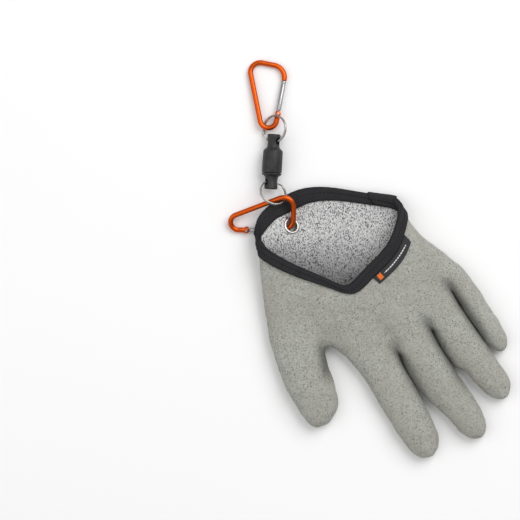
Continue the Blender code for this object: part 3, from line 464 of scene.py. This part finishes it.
def smooth_loop(stations, steps):
    """A closed curve through stations: the uniform Catmull-Rom cubic, steps points a span."""
    before, after, next_after = (np.roll(stations, shift, axis=0) for shift in (1, -1, -2))
    t = np.linspace(0.0, 1.0, steps, endpoint=False)[None, :, None]
    a, b, c, d = (part[:, None] for part in (before, stations, after, next_after))
    curve = 0.5 * (2 * b + (c - a) * t + (2 * a - 5 * b + 4 * c - d) * t ** 2
                   + (3 * b - a - 3 * c + d) * t ** 3)
    return curve.reshape(-1, 3)


def ripple(points, size, seed, waves=16):
    """sum of sin(2 pi p . d / size + phase) over seeded directions d, over the root of their number."""
    draw = np.random.default_rng(seed)
    direction = unit(draw.normal(size=(waves, 3)))
    length = size * draw.uniform(0.7, 1.4, (waves, 1))
    phase = draw.uniform(0.0, 2.0 * math.pi, waves)
    return np.sin(2.0 * math.pi * points @ (direction / length).T + phase).sum(axis=1) / math.sqrt(waves)


def step(value, low, high):
    """0 below low, 1 above high, 3 t^2 - 2 t^3 in between."""
    t = np.clip((value - low) / (high - low), 0.0, 1.0)
    return t * t * (3.0 - 2.0 * t)


def fine_copy(node, name, levels):
    """A copy of a node, merged and smoothed by subdivision, its corners creased."""
    work = bmesh.new()
    work.from_mesh(frame["nodes"][node].data)
    bmesh.ops.remove_doubles(work, verts=work.verts, dist=1e-6)
    bmesh.ops.join_triangles(work, faces=work.faces, angle_face_threshold=math.radians(35.0),
                             angle_shape_threshold=math.radians(60.0))
    crease = work.edges.layers.float.new("crease_edge")
    for edge in work.edges:
        if edge.calc_face_angle(0.0) > math.radians(50.0):
            edge[crease] = 0.9
    mesh = bpy.data.meshes.new(name + "_rough")
    work.to_mesh(mesh)
    work.free()
    rough = new_object(name + "_rough", mesh)
    smooth = rough.modifiers.new("smooth", "SUBSURF")
    smooth.levels = smooth.render_levels = levels
    fine = with_modifiers(rough)
    fine.name = name
    bpy.data.objects.remove(rough)
    bpy.data.meshes.remove(mesh)
    return fine


def points_of(mesh):
    """A mesh's points as an array."""
    flat = np.empty(len(mesh.vertices) * 3)
    mesh.vertices.foreach_get("co", flat)
    return flat.reshape(-1, 3)


def normals_of(mesh):
    """A mesh's point normals as an array."""
    flat = np.empty(len(mesh.vertices) * 3)
    mesh.vertex_normals.foreach_get("vector", flat)
    return flat.reshape(-1, 3)


def set_points(mesh, points):
    """Put an array of points into a mesh."""
    mesh.vertices.foreach_set("co", points.ravel())
    mesh.update()


def tape_path(steps=24):
    """The tape's middle line, its length so far and its direction at each point."""
    line = smooth_loop(TAPE_LINE, steps)
    leap = np.linalg.norm(np.roll(line, -1, axis=0) - line, axis=1)
    run = np.concatenate(((0.0,), np.cumsum(leap)[:-1]))
    along = unit(np.roll(line, -1, axis=0) - np.roll(line, 1, axis=0))
    return line, run, along, leap.sum()


def nearest(points, line, block=4000):
    """For each point the nearest of a line's points, and how far it is."""
    found, apart = [], []
    for start in range(0, len(points), block):
        gap = np.linalg.norm(points[start:start + block, None] - line[None], axis=2)
        found.append(gap.argmin(axis=1))
        apart.append(gap.min(axis=1))
    return np.concatenate(found), np.concatenate(apart)


def give_uv(mesh, name, pairs):
    """A UV map whose value at a corner is its point's pair."""
    index = np.empty(len(mesh.loops), dtype=np.int64)
    mesh.loops.foreach_get("vertex_index", index)
    mesh.uv_layers.new(name=name).uv.foreach_set("vector", pairs[index].ravel())


def in_valley(points, x, y, heading):
    """Millimetres along a valley from its start and across it, and the way across: to the thumb's side."""
    turn = math.radians(heading)
    way, out = np.array((math.cos(turn), math.sin(turn))), np.array((math.sin(turn), -math.cos(turn)))
    apart = points[:, :2] / MM - np.array((x, y))
    return apart @ way, apart @ out, out


def groove_depth(points):
    """Depth of the grooves: d exp(-(across / w)^2) fading along each groove's run."""
    depth = np.zeros(len(points))
    for x, y, heading, length, deep, half in GROOVES:
        along, across, _ = in_valley(points, x, y, heading)
        fade = step(along, -6.0, 2.0) * (1.0 - step(along, 0.25 * length, length))
        depth += deep * MM * np.exp(-(across / half) ** 2) * fade
    return depth


def flank(along, side, low, places):
    """The nearest that the low points of one side come to a valley's line, smoothed along it, in mm."""
    far = 12.0
    here = [low & (side > 0.0) & (np.abs(along - place) < LEAN_BIN) for place in places]
    edge = [np.min(side[inside], initial=far) for inside in here]
    even = np.convolve(np.pad(edge, 1, mode="edge"), (0.25, 0.5, 0.25), "valid")
    return np.interp(along, places, even)


def leaned(points):
    """Fingers that lean on their neighbours: a flank at q mm from the valley's line goes to
    -(n - room) + (q - f) (middle + n - room) / (middle - f), n and f the near and far flanks' distances.
    """
    middle, room, run = 14.0, 0.5, 80.0
    places = np.arange(0.5 * LEAN_BIN, run, LEAN_BIN)
    moved = points.copy()
    for x, y, heading, _, _, reach in VALLEYS:
        if not reach:
            continue
        along, across, out = in_valley(moved, x, y, heading)
        low = (moved[:, 2] < 13.0 * MM) & (along > 0.0) & (along < run)
        near, far = flank(along, across, low, places), flank(along, -across, low, places)
        share = step(along, 6.0, 16.0) * (1.0 - step(along, reach - 14.0, reach + 34.0))
        share *= 1.0 - step(moved[:, 2], 8.0 * MM, 17.0 * MM)
        target = -(near - room) - (across + far) * (middle + near - room) / (middle - far)
        held = (across < 0.0) & (across > -middle)
        shift = np.where(held, (-across - target) * share, 0.0)
        moved[:, :2] += shift[:, None] * out * MM
    return moved


def shade_of(points):
    """How much painted shade the valleys get, 0 to 1: exp(-(across / w)^2) fading along each valley's run.
    """
    shade = np.zeros(len(points))
    for x, y, heading, length, half, _ in VALLEYS:
        along, across, _ = in_valley(points, x, y, heading)
        fade = step(along, -10.0, 6.0) * (1.0 - step(along, 0.45 * length, length))
        shade = np.maximum(shade, np.exp(-(across / half) ** 2) * fade)
    return shade


def give_value(mesh, name, values):
    """A value at each point, for a finish."""
    mesh.attributes.new(name, "FLOAT", "POINT").data.foreach_set("value", values.astype(np.float32))


def sunk(points):
    """Points lowered by the grooves: z less depth times a step from 5 to 13 mm up, so walls keep order."""
    lowered = points.copy()
    lowered[:, 2] -= groove_depth(points) * step(points[:, 2], 5.0 * MM, 13.0 * MM)
    return lowered


class GloveSizes(bpy.types.PropertyGroup):
    """Sizes and colours that a user would change."""

    crinkle: FloatProperty(name="Crinkle", description="Size of the latex crinkle", default=0.0013,
                           subtype="DISTANCE", unit="LENGTH")
    crinkle_depth: FloatProperty(name="Crinkle depth", description="Height of the latex crinkle",
                                 default=0.00045, subtype="DISTANCE", unit="LENGTH")
    wave: FloatProperty(name="Wave", description="Height of the coat's soft waves", default=0.00022,
                        subtype="DISTANCE", unit="LENGTH")
    stitch_width: FloatProperty(name="Knit stitch", description="Width of a column of the knit",
                                default=0.0012, subtype="DISTANCE", unit="LENGTH")
    tape_rib: FloatProperty(name="Tape rib", description="Pitch of the tape's cross ribs",
                            default=0.0007, subtype="DISTANCE", unit="LENGTH")
    seam_pitch: FloatProperty(name="Seam pitch", description="From one sewn stitch to the next",
                              default=0.0029, subtype="DISTANCE", unit="LENGTH")
    seam_stitch: FloatProperty(name="Seam stitch", description="Length of one sewn stitch",
                               default=0.0021, subtype="DISTANCE", unit="LENGTH")
    thread: FloatProperty(name="Thread", description="Radius of the sewing thread",
                          default=0.00026, subtype="DISTANCE", unit="LENGTH")
    latex: FloatVectorProperty(name="Latex", description="Colour of the latex coat", subtype="COLOR",
                               default=(0.330, 0.333, 0.300))
    tape: FloatVectorProperty(name="Tape", description="Colour of the binding tape", subtype="COLOR",
                              default=(0.020, 0.020, 0.022))
    orange: FloatVectorProperty(name="Orange", description="Colour of the anodised clips",
                                subtype="COLOR", default=(0.64, 0.092, 0.007))


class ClipSizes(bpy.types.PropertyGroup):
    """Sizes of the carabiners and the rings."""

    wire: FloatProperty(name="Wire", description="Radius of the carabiner's wire", default=0.0022,
                        subtype="DISTANCE", unit="LENGTH")
    length: FloatProperty(name="Carabiner", description="Length of the carabiner", default=0.0585,
                          subtype="DISTANCE", unit="LENGTH")
    narrow: FloatProperty(name="Narrow end", description="Radius of the narrow end's bend",
                          default=0.0070, subtype="DISTANCE", unit="LENGTH")
    spine_corner: FloatProperty(name="Spine corner", description="Radius of the spine's bend",
                                default=0.0082, subtype="DISTANCE", unit="LENGTH")
    gate_corner: FloatProperty(name="Gate corner", description="Radius of the bend above the gate",
                               default=0.0105, subtype="DISTANCE", unit="LENGTH")
    lean: FloatProperty(name="Lean", description="Each leg's lean out from the middle",
                        default=math.radians(10.9), subtype="ANGLE", unit="ROTATION")
    slope: FloatProperty(name="Slope", description="Slope of the wide end", default=math.radians(12.0),
                         subtype="ANGLE", unit="ROTATION")
    hinge_radius: FloatProperty(name="Hinge", description="Radius of the hinge's ears", default=0.0024,
                                subtype="DISTANCE", unit="LENGTH")
    hinge_place: FloatProperty(name="Hinge place", description="From the narrow bend to the hinge",
                               default=0.0062, subtype="DISTANCE", unit="LENGTH")
    gate: FloatProperty(name="Gate", description="Length of the gate", default=0.0285,
                        subtype="DISTANCE", unit="LENGTH")
    gate_radius: FloatProperty(name="Gate bar", description="Radius of the gate's bar", default=0.0020,
                               subtype="DISTANCE", unit="LENGTH")
    slot: FloatProperty(name="Slot", description="Width of the hinge's slot", default=0.0017,
                        subtype="DISTANCE", unit="LENGTH")
    rivet: FloatProperty(name="Rivet", description="Radius of the rivet", default=0.00065,
                         subtype="DISTANCE", unit="LENGTH")
    ring_wire: FloatProperty(name="Ring wire", description="Thickness of the ring's wire",
                             default=0.00125, subtype="DISTANCE", unit="LENGTH")
    sides: IntProperty(name="Sides", description="Sides of the round pieces", default=24, min=8)


class StageSettings(bpy.types.PropertyGroup):
    """The photographer's floor, lights and camera."""

    height: FloatProperty(name="Camera height", description="Camera above the floor", default=2.4,
                          subtype="DISTANCE", unit="LENGTH")
    span: FloatProperty(name="Span", description="Width of the view at the glove", default=0.4368,
                        subtype="DISTANCE", unit="LENGTH")
    key: FloatProperty(name="Key light", description="Power of the main light", default=26.5, unit="POWER")
    side: FloatProperty(name="Side light", description="Power of the light from the thumb's side",
                        default=11.0, unit="POWER")
    fill: FloatProperty(name="Fill", description="Strength of the light all round", default=0.42)


def gate_frame(prefix):
    """A gate's joint, its pivot and axis, and its bar's direction, square to the axis."""
    joint = next(joint for joint in frame["joints"] if joint["name"] == prefix + "_gate_hinge")
    pivot, axis = np.array(joint["pos_m"]), unit(np.array(joint["axis"]))
    _, middle, ways = cloud(prefix + "_carabiner_gate")
    along = ways[0] if ways[0] @ (middle - pivot) > 0.0 else -ways[0]
    return joint, pivot, axis, unit(along - (along @ axis) * axis)


def clear_of_gate(points, clips):
    """Points pushed out of the lower gate's sweep, to its radius and a clearance from its middle line."""
    clearance, stops, least = 0.45 * MM, 9, 0.001 * MM
    joint, pivot, axis, along = gate_frame("lower")
    reach = clips.gate_radius + clearance
    for angle in np.radians(np.linspace(0.0, max(joint["range_deg"]), stops)):
        way = along * math.cos(angle) + np.cross(axis, along) * math.sin(angle)
        share = np.clip((points - pivot) @ way, 0.0, clips.gate)[:, None]
        out = points - pivot - share * way
        gap = np.linalg.norm(out, axis=1, keepdims=True)
        points = np.where(gap < reach, points + out * (reach / np.maximum(gap, least) - 1.0), points)
    return points


def build_coat(scene):
    """The latex coat: waves s ripple(p) along the normal, fading out at the tape, then leaning
    fingers, grooves from the crotches, and room for the lower gate."""
    sizes = scene.glove_sizes
    mesh = fine_copy("latex_coat", "coat", 2)
    points, normals = points_of(mesh), normals_of(mesh)
    line = tape_path()[0]
    apart = nearest(points, line[::4])[1]
    free = step(apart, 9.0 * MM, 16.0 * MM) * step(points[:, 2], 0.3 * MM, 4.0 * MM)
    wave = sizes.wave * (ripple(points, 9.0 * MM, 3) + 1.3 * ripple(points, 26.0 * MM, 5))
    lift = free * np.where(normals[:, 2] > -0.2, wave, 0.0)
    points = leaned(points + normals * lift[:, None])
    # Painted shade in the finger valleys, carried by the valley attribute.
    give_value(mesh, "valley", shade_of(points))
    set_points(mesh, clear_of_gate(sunk(points), scene.clip_sizes))
    show(mesh, latex_finish(sizes), ("latex_coat",))


def build_liner(scene):
    """The knit lining: the smoothed wall, with painted shade that grows with how deep in the glove each
    point lies.
    """
    mesh = fine_copy("knit_liner", "liner", 2)
    points = points_of(mesh)
    far_rim = np.array((30.0, 62.0, 0.0)) * MM
    # How deep in the glove each point lies, for the painted shade of the lining.
    depth = (far_rim - points) @ PHOTO_UP / MM
    give_value(mesh, "depth", step(depth, 28.0, 82.0))
    set_points(mesh, sunk(points))
    show(mesh, knit_finish(scene.glove_sizes), ("knit_liner",))


def build_binding(scene):
    """The folded tape, drawn in towards the rim, its lapped end and the seam along its middle line."""
    sizes = scene.glove_sizes
    line, run, along, total = tape_path()
    finish, drawn_in = tape_finish(sizes), 0.36
    for node, name in (("binding_tape", "tape"), ("binding_overlap", "tape_end")):
        mesh = fine_copy(node, name, 2)
        points, normals = points_of(mesh), normals_of(mesh)
        at, _ = nearest(points, line)
        side = unit(np.cross(along[at], normals))
        across = ((points - line[at]) * side).sum(axis=1)
        from_rim = across * np.sign(side[:, 1]) < 0.0
        points = points - side * (np.where(from_rim, drawn_in, 0.0) * across)[:, None]
        give_uv(mesh, "tape", np.stack((run[at], across), axis=1))
        set_points(mesh, points + normals * padded(run[at], across, sizes)[:, None])
        show(mesh, finish, (node,))
    show(seam(sizes, line, run, along, total), thread_finish(sizes), corner=80.0)


def padded(run, across, sizes):
    """How far the tape stands out: a roll each side of the seam's groove, puckered at each stitch."""
    quarter = 2.1 * MM
    roll = 0.75 * MM * np.clip(1.0 - ((np.abs(across) - quarter) / quarter) ** 2, 0.0, 1.0)
    groove = 0.50 * MM * np.exp(-(across / (0.9 * MM)) ** 2)
    pucker = 0.10 * MM * np.sin(math.pi * run / sizes.seam_pitch) * np.exp(-(across / (2.2 * MM)) ** 2)
    return roll - groove + pucker


def seam(sizes, line, run, along, total):
    """Stitches on both legs of the tape: each a capsule x = h s, r = thread sqrt(1 - s^4)."""
    surface = bmesh.new()
    for name in ("binding_tape", "binding_overlap"):
        surface.from_mesh(frame["nodes"][name].data)
    tree = BVHTree.FromBMesh(surface)
    surface.free()
    count = int(total / sizes.seam_pitch)
    at = np.searchsorted(run, (np.arange(count) + 0.5) * total / count) % len(run)
    share = np.linspace(-1.0, 1.0, 9)
    round_line = circle(sizes.thread, 6)
    girth = np.sqrt(1.0 - share ** 4)
    dip = 0.5 * sizes.thread * share ** 2
    shapes = []
    for sense in (1.0, -1.0):
        centres, outs, ways = [], [], []
        for place in at:
            spot = Vector(line[place])
            close = tree.find_nearest(spot)
            out = close[1] * (-sense if (close[0] - spot).dot(close[1]) < 0.0 else sense)
            hit = tree.ray_cast(spot + out * 7.0 * MM, -out, 20.0 * MM)
            if hit[0] is not None:
                centres.append(hit[0])
                outs.append(hit[1])
                ways.append(along[place])
        centres, outs, ways = (np.array(part) for part in (centres, outs, ways))
        ways = unit(ways - (ways * outs).sum(axis=1, keepdims=True) * outs)
        beside = np.cross(outs, ways)
        reach = 0.5 * sizes.seam_stitch * share
        core = (centres[:, None] + ways[:, None] * reach[None, :, None]
                + outs[:, None] * (0.25 * sizes.thread - dip)[None, :, None])
        ring = round_line[:, :1] * beside[:, None] + round_line[:, 1:] * outs[:, None]
        grid = core[:, :, None] + girth[None, :, None, None] * ring[:, None]
        faces = grid_faces(len(share), len(round_line))
        offset = np.arange(len(centres))[:, None, None] * (len(share) * len(round_line))
        shapes.append((grid.reshape(-1, 3), (faces[None] + offset).reshape(-1, 4)))
    return mesh_of("seam_stitches", shapes)


def build_label():
    """The woven label: run along its length and across from the tape, for its woven band."""
    mesh = fine_copy("label_tab", "label", 3)
    line, run, _, _ = tape_path()
    at, apart = nearest(points_of(mesh), line)
    give_uv(mesh, "label", np.stack((run[at].max() - run[at], apart - 4.0 * MM), axis=1))
    show(mesh, label_finish(), ("label_tab",))


def cloud(node):
    """A node's separate points, their middle, and its directions from the longest to the shortest."""
    points = np.unique(np.round(points_of(frame["nodes"][node].data), 7), axis=0)
    middle = points.mean(axis=0)
    ways = np.linalg.svd(points - middle, full_matrices=False)[2]
    return points, middle, ways


def build_eyelet():
    """The eyelet, a closed profile turned about its axis: rolled flange, barrel and lip."""
    points, middle, ways = cloud("eyelet")
    axis = ways[2] if ways[2][2] > 0.0 else -ways[2]
    foot = middle + axis * (((points - middle) @ axis).min() + 1.0 * MM)
    shape = lathe(np.array(EYELET) * MM, 64, foot, axis, ways[0], loop=True)
    show(mesh_of("eyelet_ring", [shape]), nickel_finish(), ("eyelet",), corner=50.0)


def build_rings(scene):
    """Split rings: flat wire wound twice, point = centre + R (cos t, sin t) + z(t) normal."""
    finish, wire = nickel_finish(), scene.clip_sizes.ring_wire
    turn = np.linspace(0.035, 1.965, 190)
    height = 0.5 * wire * (2.0 * step(turn, 0.965, 1.035) - 1.0)
    corners = np.array(((0.5, 0.25), (0.3, 0.45), (-0.3, 0.45), (-0.5, 0.25),
                        (-0.5, -0.25), (-0.3, -0.45), (0.3, -0.45), (0.5, -0.25)))
    for prefix, start in (("lower", 2.2), ("upper", 0.9)):
        node = prefix + "_split_ring"
        points, middle, ways = cloud(node)
        normal, apart = ways[2], points - middle
        radius = np.linalg.norm(apart - (apart @ normal)[:, None] * normal, axis=1).mean()
        angle = 2.0 * math.pi * turn + start
        out = np.cos(angle)[:, None] * ways[0] + np.sin(angle)[:, None] * ways[1]
        path = middle + radius * out + height[:, None] * normal
        shape = sweep(path, out, normal, corners * wire)
        show(mesh_of(prefix + "_ring", [shape]), finish, (node,))


def fillet(before, corner, after, radius, steps):
    """Points of the arc of a radius that touches both sides of a corner."""
    first, second = unit(before - corner), unit(after - corner)
    half = 0.5 * math.acos(float(np.clip(first @ second, -1.0, 1.0)))
    centre = corner + unit(first + second) * radius / math.sin(half)
    start = corner + first * radius / math.tan(half) - centre
    end = corner + second * radius / math.tan(half) - centre
    opening = math.pi - 2.0 * half
    share = np.linspace(0.0, 1.0, steps + 1)[:, None]
    swung = np.sin((1.0 - share) * opening) * start + np.sin(share * opening) * end
    return centre + swung / math.sin(opening)


def clip_line(clips):
    """The frame's middle line in the hinge's frame, from the nose round to just short of the hinge."""
    lean = np.array((math.cos(clips.lean), math.sin(clips.lean)))
    narrow = clips.narrow / math.sin(clips.lean)
    top = narrow - clips.narrow + clips.length - 2.0 * clips.wire
    ratio = math.tan(clips.slope) * lean[1] / lean[0]
    spine, gate = top / (1.0 - ratio), top / (1.0 + ratio)
    apex = np.zeros(2)
    spine_corner = np.array((spine, -spine * lean[1] / lean[0]))
    gate_corner = np.array((gate, gate * lean[1] / lean[0]))
    pivot = lean * (clips.narrow / math.tan(clips.lean) + clips.hinge_place)
    nose = pivot + lean * clips.gate
    parts = [nose[None], fillet(nose, gate_corner, spine_corner, clips.gate_corner, 24),
             fillet(gate_corner, spine_corner, apex, clips.spine_corner, 22),
             fillet(spine_corner, apex, gate_corner, clips.narrow, 30),
             (pivot - lean * 0.9 * clips.hinge_radius)[None]]
    line = np.vstack(parts) - pivot
    return np.stack((line @ lean, line @ np.array((-lean[1], lean[0]))), axis=1)


def build_clips(scene):
    """The two carabiners."""
    finishes = (orange_finish(scene.glove_sizes), steel_finish())
    for prefix in ("lower", "upper"):
        build_carabiner(prefix, scene.clip_sizes, finishes)


def build_carabiner(prefix, clips, finishes):
    """One carabiner: the round frame with two hinge ears, the gate with its tongue, the rivet."""
    _, pivot, axis, along = gate_frame(prefix)
    up = -axis
    beside = np.cross(up, along)

    def placed(flat):
        return pivot + flat[:, :1] * along + flat[:, 1:2] * beside

    path = placed(clip_line(clips))
    tangent = unit(np.gradient(path, axis=0))
    side = unit(np.cross(tangent, up))
    girth = np.concatenate(((0.86, 0.96, 1.0), np.ones(len(path) - 2), (1.0, 0.9, 0.7)))
    extra = np.array((0.0, 0.12, 0.3)) * clips.wire
    head = path[:1] + tangent[:1] * extra[:, None]
    tail = path[-1:] + tangent[-1:] * (0.6 * clips.hinge_radius - extra[::-1, None])
    path = np.vstack((head, path[1:-1], tail))
    side = np.vstack((np.repeat(side[:1], 3, axis=0), side[1:-1], np.repeat(side[-1:], 3, axis=0)))
    section = girth[:, None, None] * circle(clips.wire, clips.sides)[None]
    bow = sweep(path, side, up, section)
    half, low = clips.wire + 0.2 * MM, 0.5 * clips.slot
    rim, edge = clips.hinge_radius, 0.15 * MM
    ear = np.array(((0.0, low), (rim - edge, low), (rim, low + edge), (rim, half - 0.5 * MM),
                    (rim - edge, half - 0.2 * MM), (rim - 0.5 * MM, half), (0.0, half)))
    ears = [lathe(ear * np.array((1.0, sense)), 32, pivot, up, along) for sense in (1.0, -1.0)]
    show(mesh_of(prefix + "_clip_frame", [bow, *ears]), finishes[0],
         (prefix + "_carabiner_frame",), corner=45.0)

    start, end = rim + 0.6 * MM, clips.gate - 0.3 * MM
    tongue, thin = rim - 0.5 * MM, low - 0.3 * MM
    back = -tongue * np.cos(np.linspace(0.0, 0.5 * math.pi, 9))
    neck = np.linspace(0.3 * MM, start, 4)
    bar = (start + 0.25 * MM, start + 0.6 * MM, end - 2.4 * MM, end - 2.2 * MM,
           end - 1.9 * MM, end - 0.3 * MM, end - 0.1 * MM, end)
    turned = np.array((0.97, 1.0, 1.0, 0.93, 1.0, 1.0, 0.94, 0.82)) * clips.gate_radius
    place = np.concatenate((back, neck, bar))
    ends = np.sqrt(np.maximum(tongue ** 2 - back ** 2, 0.0))
    wide = np.concatenate((ends, np.full(4, 0.85 * tongue), turned))
    thick = np.concatenate((np.full(13, thin), turned))
    square = np.concatenate((np.full(13, 0.35), np.ones(8)))
    across, over = (np.sign(value) * np.abs(value) ** square[:, None]
                    for value in circle(1.0, clips.sides).T)
    section = np.stack((wide[:, None] * across, thick[:, None] * over), axis=2)
    line = placed(np.stack((place, np.zeros_like(place)), axis=1))
    gate = sweep(line, beside, up, section)
    show(mesh_of(prefix + "_clip_gate", [gate]), finishes[1],
         (prefix + "_carabiner_gate",), body=prefix + "_gate", corner=45.0)

    turn = np.linspace(0.0, 0.5 * math.pi, 5)
    dome = [(clips.rivet * 1.5 * math.cos(t), half + 0.12 * MM * math.sin(t)) for t in turn]
    rivet = lathe([(r, -h) for r, h in dome[::-1]] + dome, 24, pivot, up, along)
    show(mesh_of(prefix + "_rivet", [rivet]), finishes[1], (prefix + "_gate_rivet",), corner=45.0)


def build_release():
    """The magnetic release: two turned halves, each with a cross hole for its ring."""
    finish = plastic_finish()
    upper_middle, ways = cloud("release_upper_half")[1:]
    lower_middle = cloud("release_lower_half")[1]
    axis = ways[0] if ways[0] @ (upper_middle - lower_middle) > 0.0 else -ways[0]
    foot = upper_middle - axis * (upper_middle @ axis)
    for half, outline in RELEASE.items():
        reach = cloud("release_%s_half" % half)[0] @ axis
        ring_middle, ring_ways = cloud(half + "_split_ring")[1:]
        hole_at = reach.min() + HOLE_FROM_END if half == "lower" else reach.max() - HOLE_FROM_END
        spot = foot + axis * hole_at
        tangent = unit(np.cross(ring_ways[2], spot - ring_middle))
        across = unit(tangent - (tangent @ axis) * axis)
        profile = np.array(outline) * MM + np.array((0.0, reach.min()))
        body = mesh_of("release_" + half, [lathe(profile, 64, foot, axis, across)])
        tool = mesh_of("ring_hole_" + half, [lathe(np.array(RING_HOLE) * MM, 40, spot, across, axis)])
        show(cut(body, tool), finish, ("release_%s_half" % half,), corner=35.0)


def cut(body, tool):
    """A body less a tool, exactly."""
    parts = [new_object(mesh.name, mesh) for mesh in (body, tool)]
    modifier = parts[0].modifiers.new("hole", "BOOLEAN")
    modifier.operation, modifier.solver, modifier.object = "DIFFERENCE", "EXACT", parts[1]
    done, name = with_modifiers(parts[0]), body.name
    for part in parts:
        bpy.data.objects.remove(part)
    for mesh in (body, tool):
        bpy.data.meshes.remove(mesh)
    done.name = name
    return done


def area_light(name, place, aim, size, power):
    """A soft square light aimed at a point."""
    light = bpy.data.lights.new(name, "AREA")
    light.size, light.energy = size, power
    lamp = new_object(name, light)
    lamp.location = place
    lamp.rotation_euler = (Vector(aim) - Vector(place)).to_track_quat("-Z", "Y").to_euler()


def build_stage(scene):
    """The pale floor, the soft lights and the camera straight above, turned as the photograph is."""
    stage = scene.glove_stage
    side = np.linspace(-3.0, 3.0, 13)
    x, y = np.meshgrid(side, side, indexing="ij")
    points = np.stack((x, y, np.full_like(x, -0.3 * MM)), axis=2)
    mesh = bpy.data.meshes.new("floor")
    mesh.from_pydata(points.reshape(-1, 3).tolist(), [],
                     grid_faces(13, 13, columns_close=False)[:, ::-1].tolist())
    floor = new_object("floor", mesh)
    bench = Bench("pale_floor")
    pale = bench.mix(bench.noise(3.0), (0.94, 0.94, 0.94), (0.955, 0.955, 0.955))
    mesh.materials.append(bench.finish(Base_Color=pale, Roughness=0.8, Specular_IOR_Level=0.1))
    middle = np.array((-0.0493, 0.0424, 0.010))
    glove = np.array((0.02, -0.03, 0.01))
    key = glove + 0.80 * PHOTO_RIGHT + 0.95 * PHOTO_UP + np.array((0.0, 0.0, 1.55))
    area_light("key_light", key, glove, 1.5, stage.key)
    low = glove - 1.15 * PHOTO_RIGHT - 0.10 * PHOTO_UP + np.array((0.0, 0.0, 1.5))
    area_light("side_light", low, glove, 1.8, stage.side)
    world = bpy.data.worlds.new("studio")
    world.use_nodes = True
    ground = world.node_tree.nodes["Background"]
    ground.inputs["Color"].default_value = (1.0, 1.0, 1.0, 1.0)
    ground.inputs["Strength"].default_value = stage.fill
    scene.world = world
    camera = bpy.data.cameras.new("camera")
    camera.lens = camera.sensor_width * (stage.height - middle[2]) / stage.span
    camera.clip_start, camera.clip_end = 0.1, 20.0
    eye = new_object("camera", camera)
    turn = Matrix((PHOTO_RIGHT, PHOTO_UP, (0.0, 0.0, 1.0))).transposed().to_4x4()
    eye.matrix_world = Matrix.Translation((middle[0], middle[1], stage.height)) @ turn
    scene.camera = eye
    scene.view_settings.view_transform = "Standard"


class GLOVE_OT_stage(bpy.types.Operator):
    """Lay the floor and set the lights and the camera"""

    bl_idname = "glove.stage"
    bl_label = "Stage"

    def execute(self, context):
        build_stage(context.scene)
        return {"FINISHED"}


class GLOVE_OT_coat(bpy.types.Operator):
    """Build the crinkled latex coat"""

    bl_idname = "glove.coat"
    bl_label = "Latex coat"

    def execute(self, context):
        build_coat(context.scene)
        return {"FINISHED"}


class GLOVE_OT_liner(bpy.types.Operator):
    """Build the knit lining"""

    bl_idname = "glove.liner"
    bl_label = "Knit lining"

    def execute(self, context):
        build_liner(context.scene)
        return {"FINISHED"}


class GLOVE_OT_binding(bpy.types.Operator):
    """Build the binding tape and its seam"""

    bl_idname = "glove.binding"
    bl_label = "Binding"

    def execute(self, context):
        build_binding(context.scene)
        return {"FINISHED"}


class GLOVE_OT_label(bpy.types.Operator):
    """Build the woven label"""

    bl_idname = "glove.label"
    bl_label = "Label"

    def execute(self, context):
        build_label()
        return {"FINISHED"}


class GLOVE_OT_rings(bpy.types.Operator):
    """Build the eyelet and the split rings"""

    bl_idname = "glove.rings"
    bl_label = "Eyelet and rings"

    def execute(self, context):
        build_eyelet()
        build_rings(context.scene)
        return {"FINISHED"}


class GLOVE_OT_clips(bpy.types.Operator):
    """Build the two carabiners"""

    bl_idname = "glove.clips"
    bl_label = "Carabiners"

    def execute(self, context):
        build_clips(context.scene)
        return {"FINISHED"}


class GLOVE_OT_release(bpy.types.Operator):
    """Build the magnetic release"""

    bl_idname = "glove.release"
    bl_label = "Magnetic release"

    def execute(self, context):
        build_release()
        return {"FINISHED"}


OPERATORS = (GLOVE_OT_stage, GLOVE_OT_coat, GLOVE_OT_liner, GLOVE_OT_binding, GLOVE_OT_label,
             GLOVE_OT_rings, GLOVE_OT_clips, GLOVE_OT_release)


class GLOVE_PT_panel(bpy.types.Panel):
    """The glove's pieces, one button each"""

    bl_label = "Fishing glove"
    bl_idname = "GLOVE_PT_panel"
    bl_space_type = "VIEW_3D"
    bl_region_type = "UI"
    bl_category = "Glove"

    def draw(self, context):
        for operator in OPERATORS:
            self.layout.operator(operator.bl_idname)


GROUPS = {"glove_sizes": GloveSizes, "clip_sizes": ClipSizes, "glove_stage": StageSettings}
CLASSES = (*GROUPS.values(), *OPERATORS, GLOVE_PT_panel)


def register():
    for kind in CLASSES:
        bpy.utils.register_class(kind)
    for name, group in GROUPS.items():
        setattr(bpy.types.Scene, name, PointerProperty(type=group))


def unregister():
    for name in GROUPS:
        delattr(bpy.types.Scene, name)
    for kind in reversed(CLASSES):
        bpy.utils.unregister_class(kind)


def main():
    register()
    bpy.ops.glove.stage()
    bpy.ops.glove.coat()
    bpy.ops.glove.liner()
    bpy.ops.glove.binding()
    bpy.ops.glove.label()
    bpy.ops.glove.rings()
    bpy.ops.glove.clips()
    bpy.ops.glove.release()


if __name__ == "__main__":
    main()
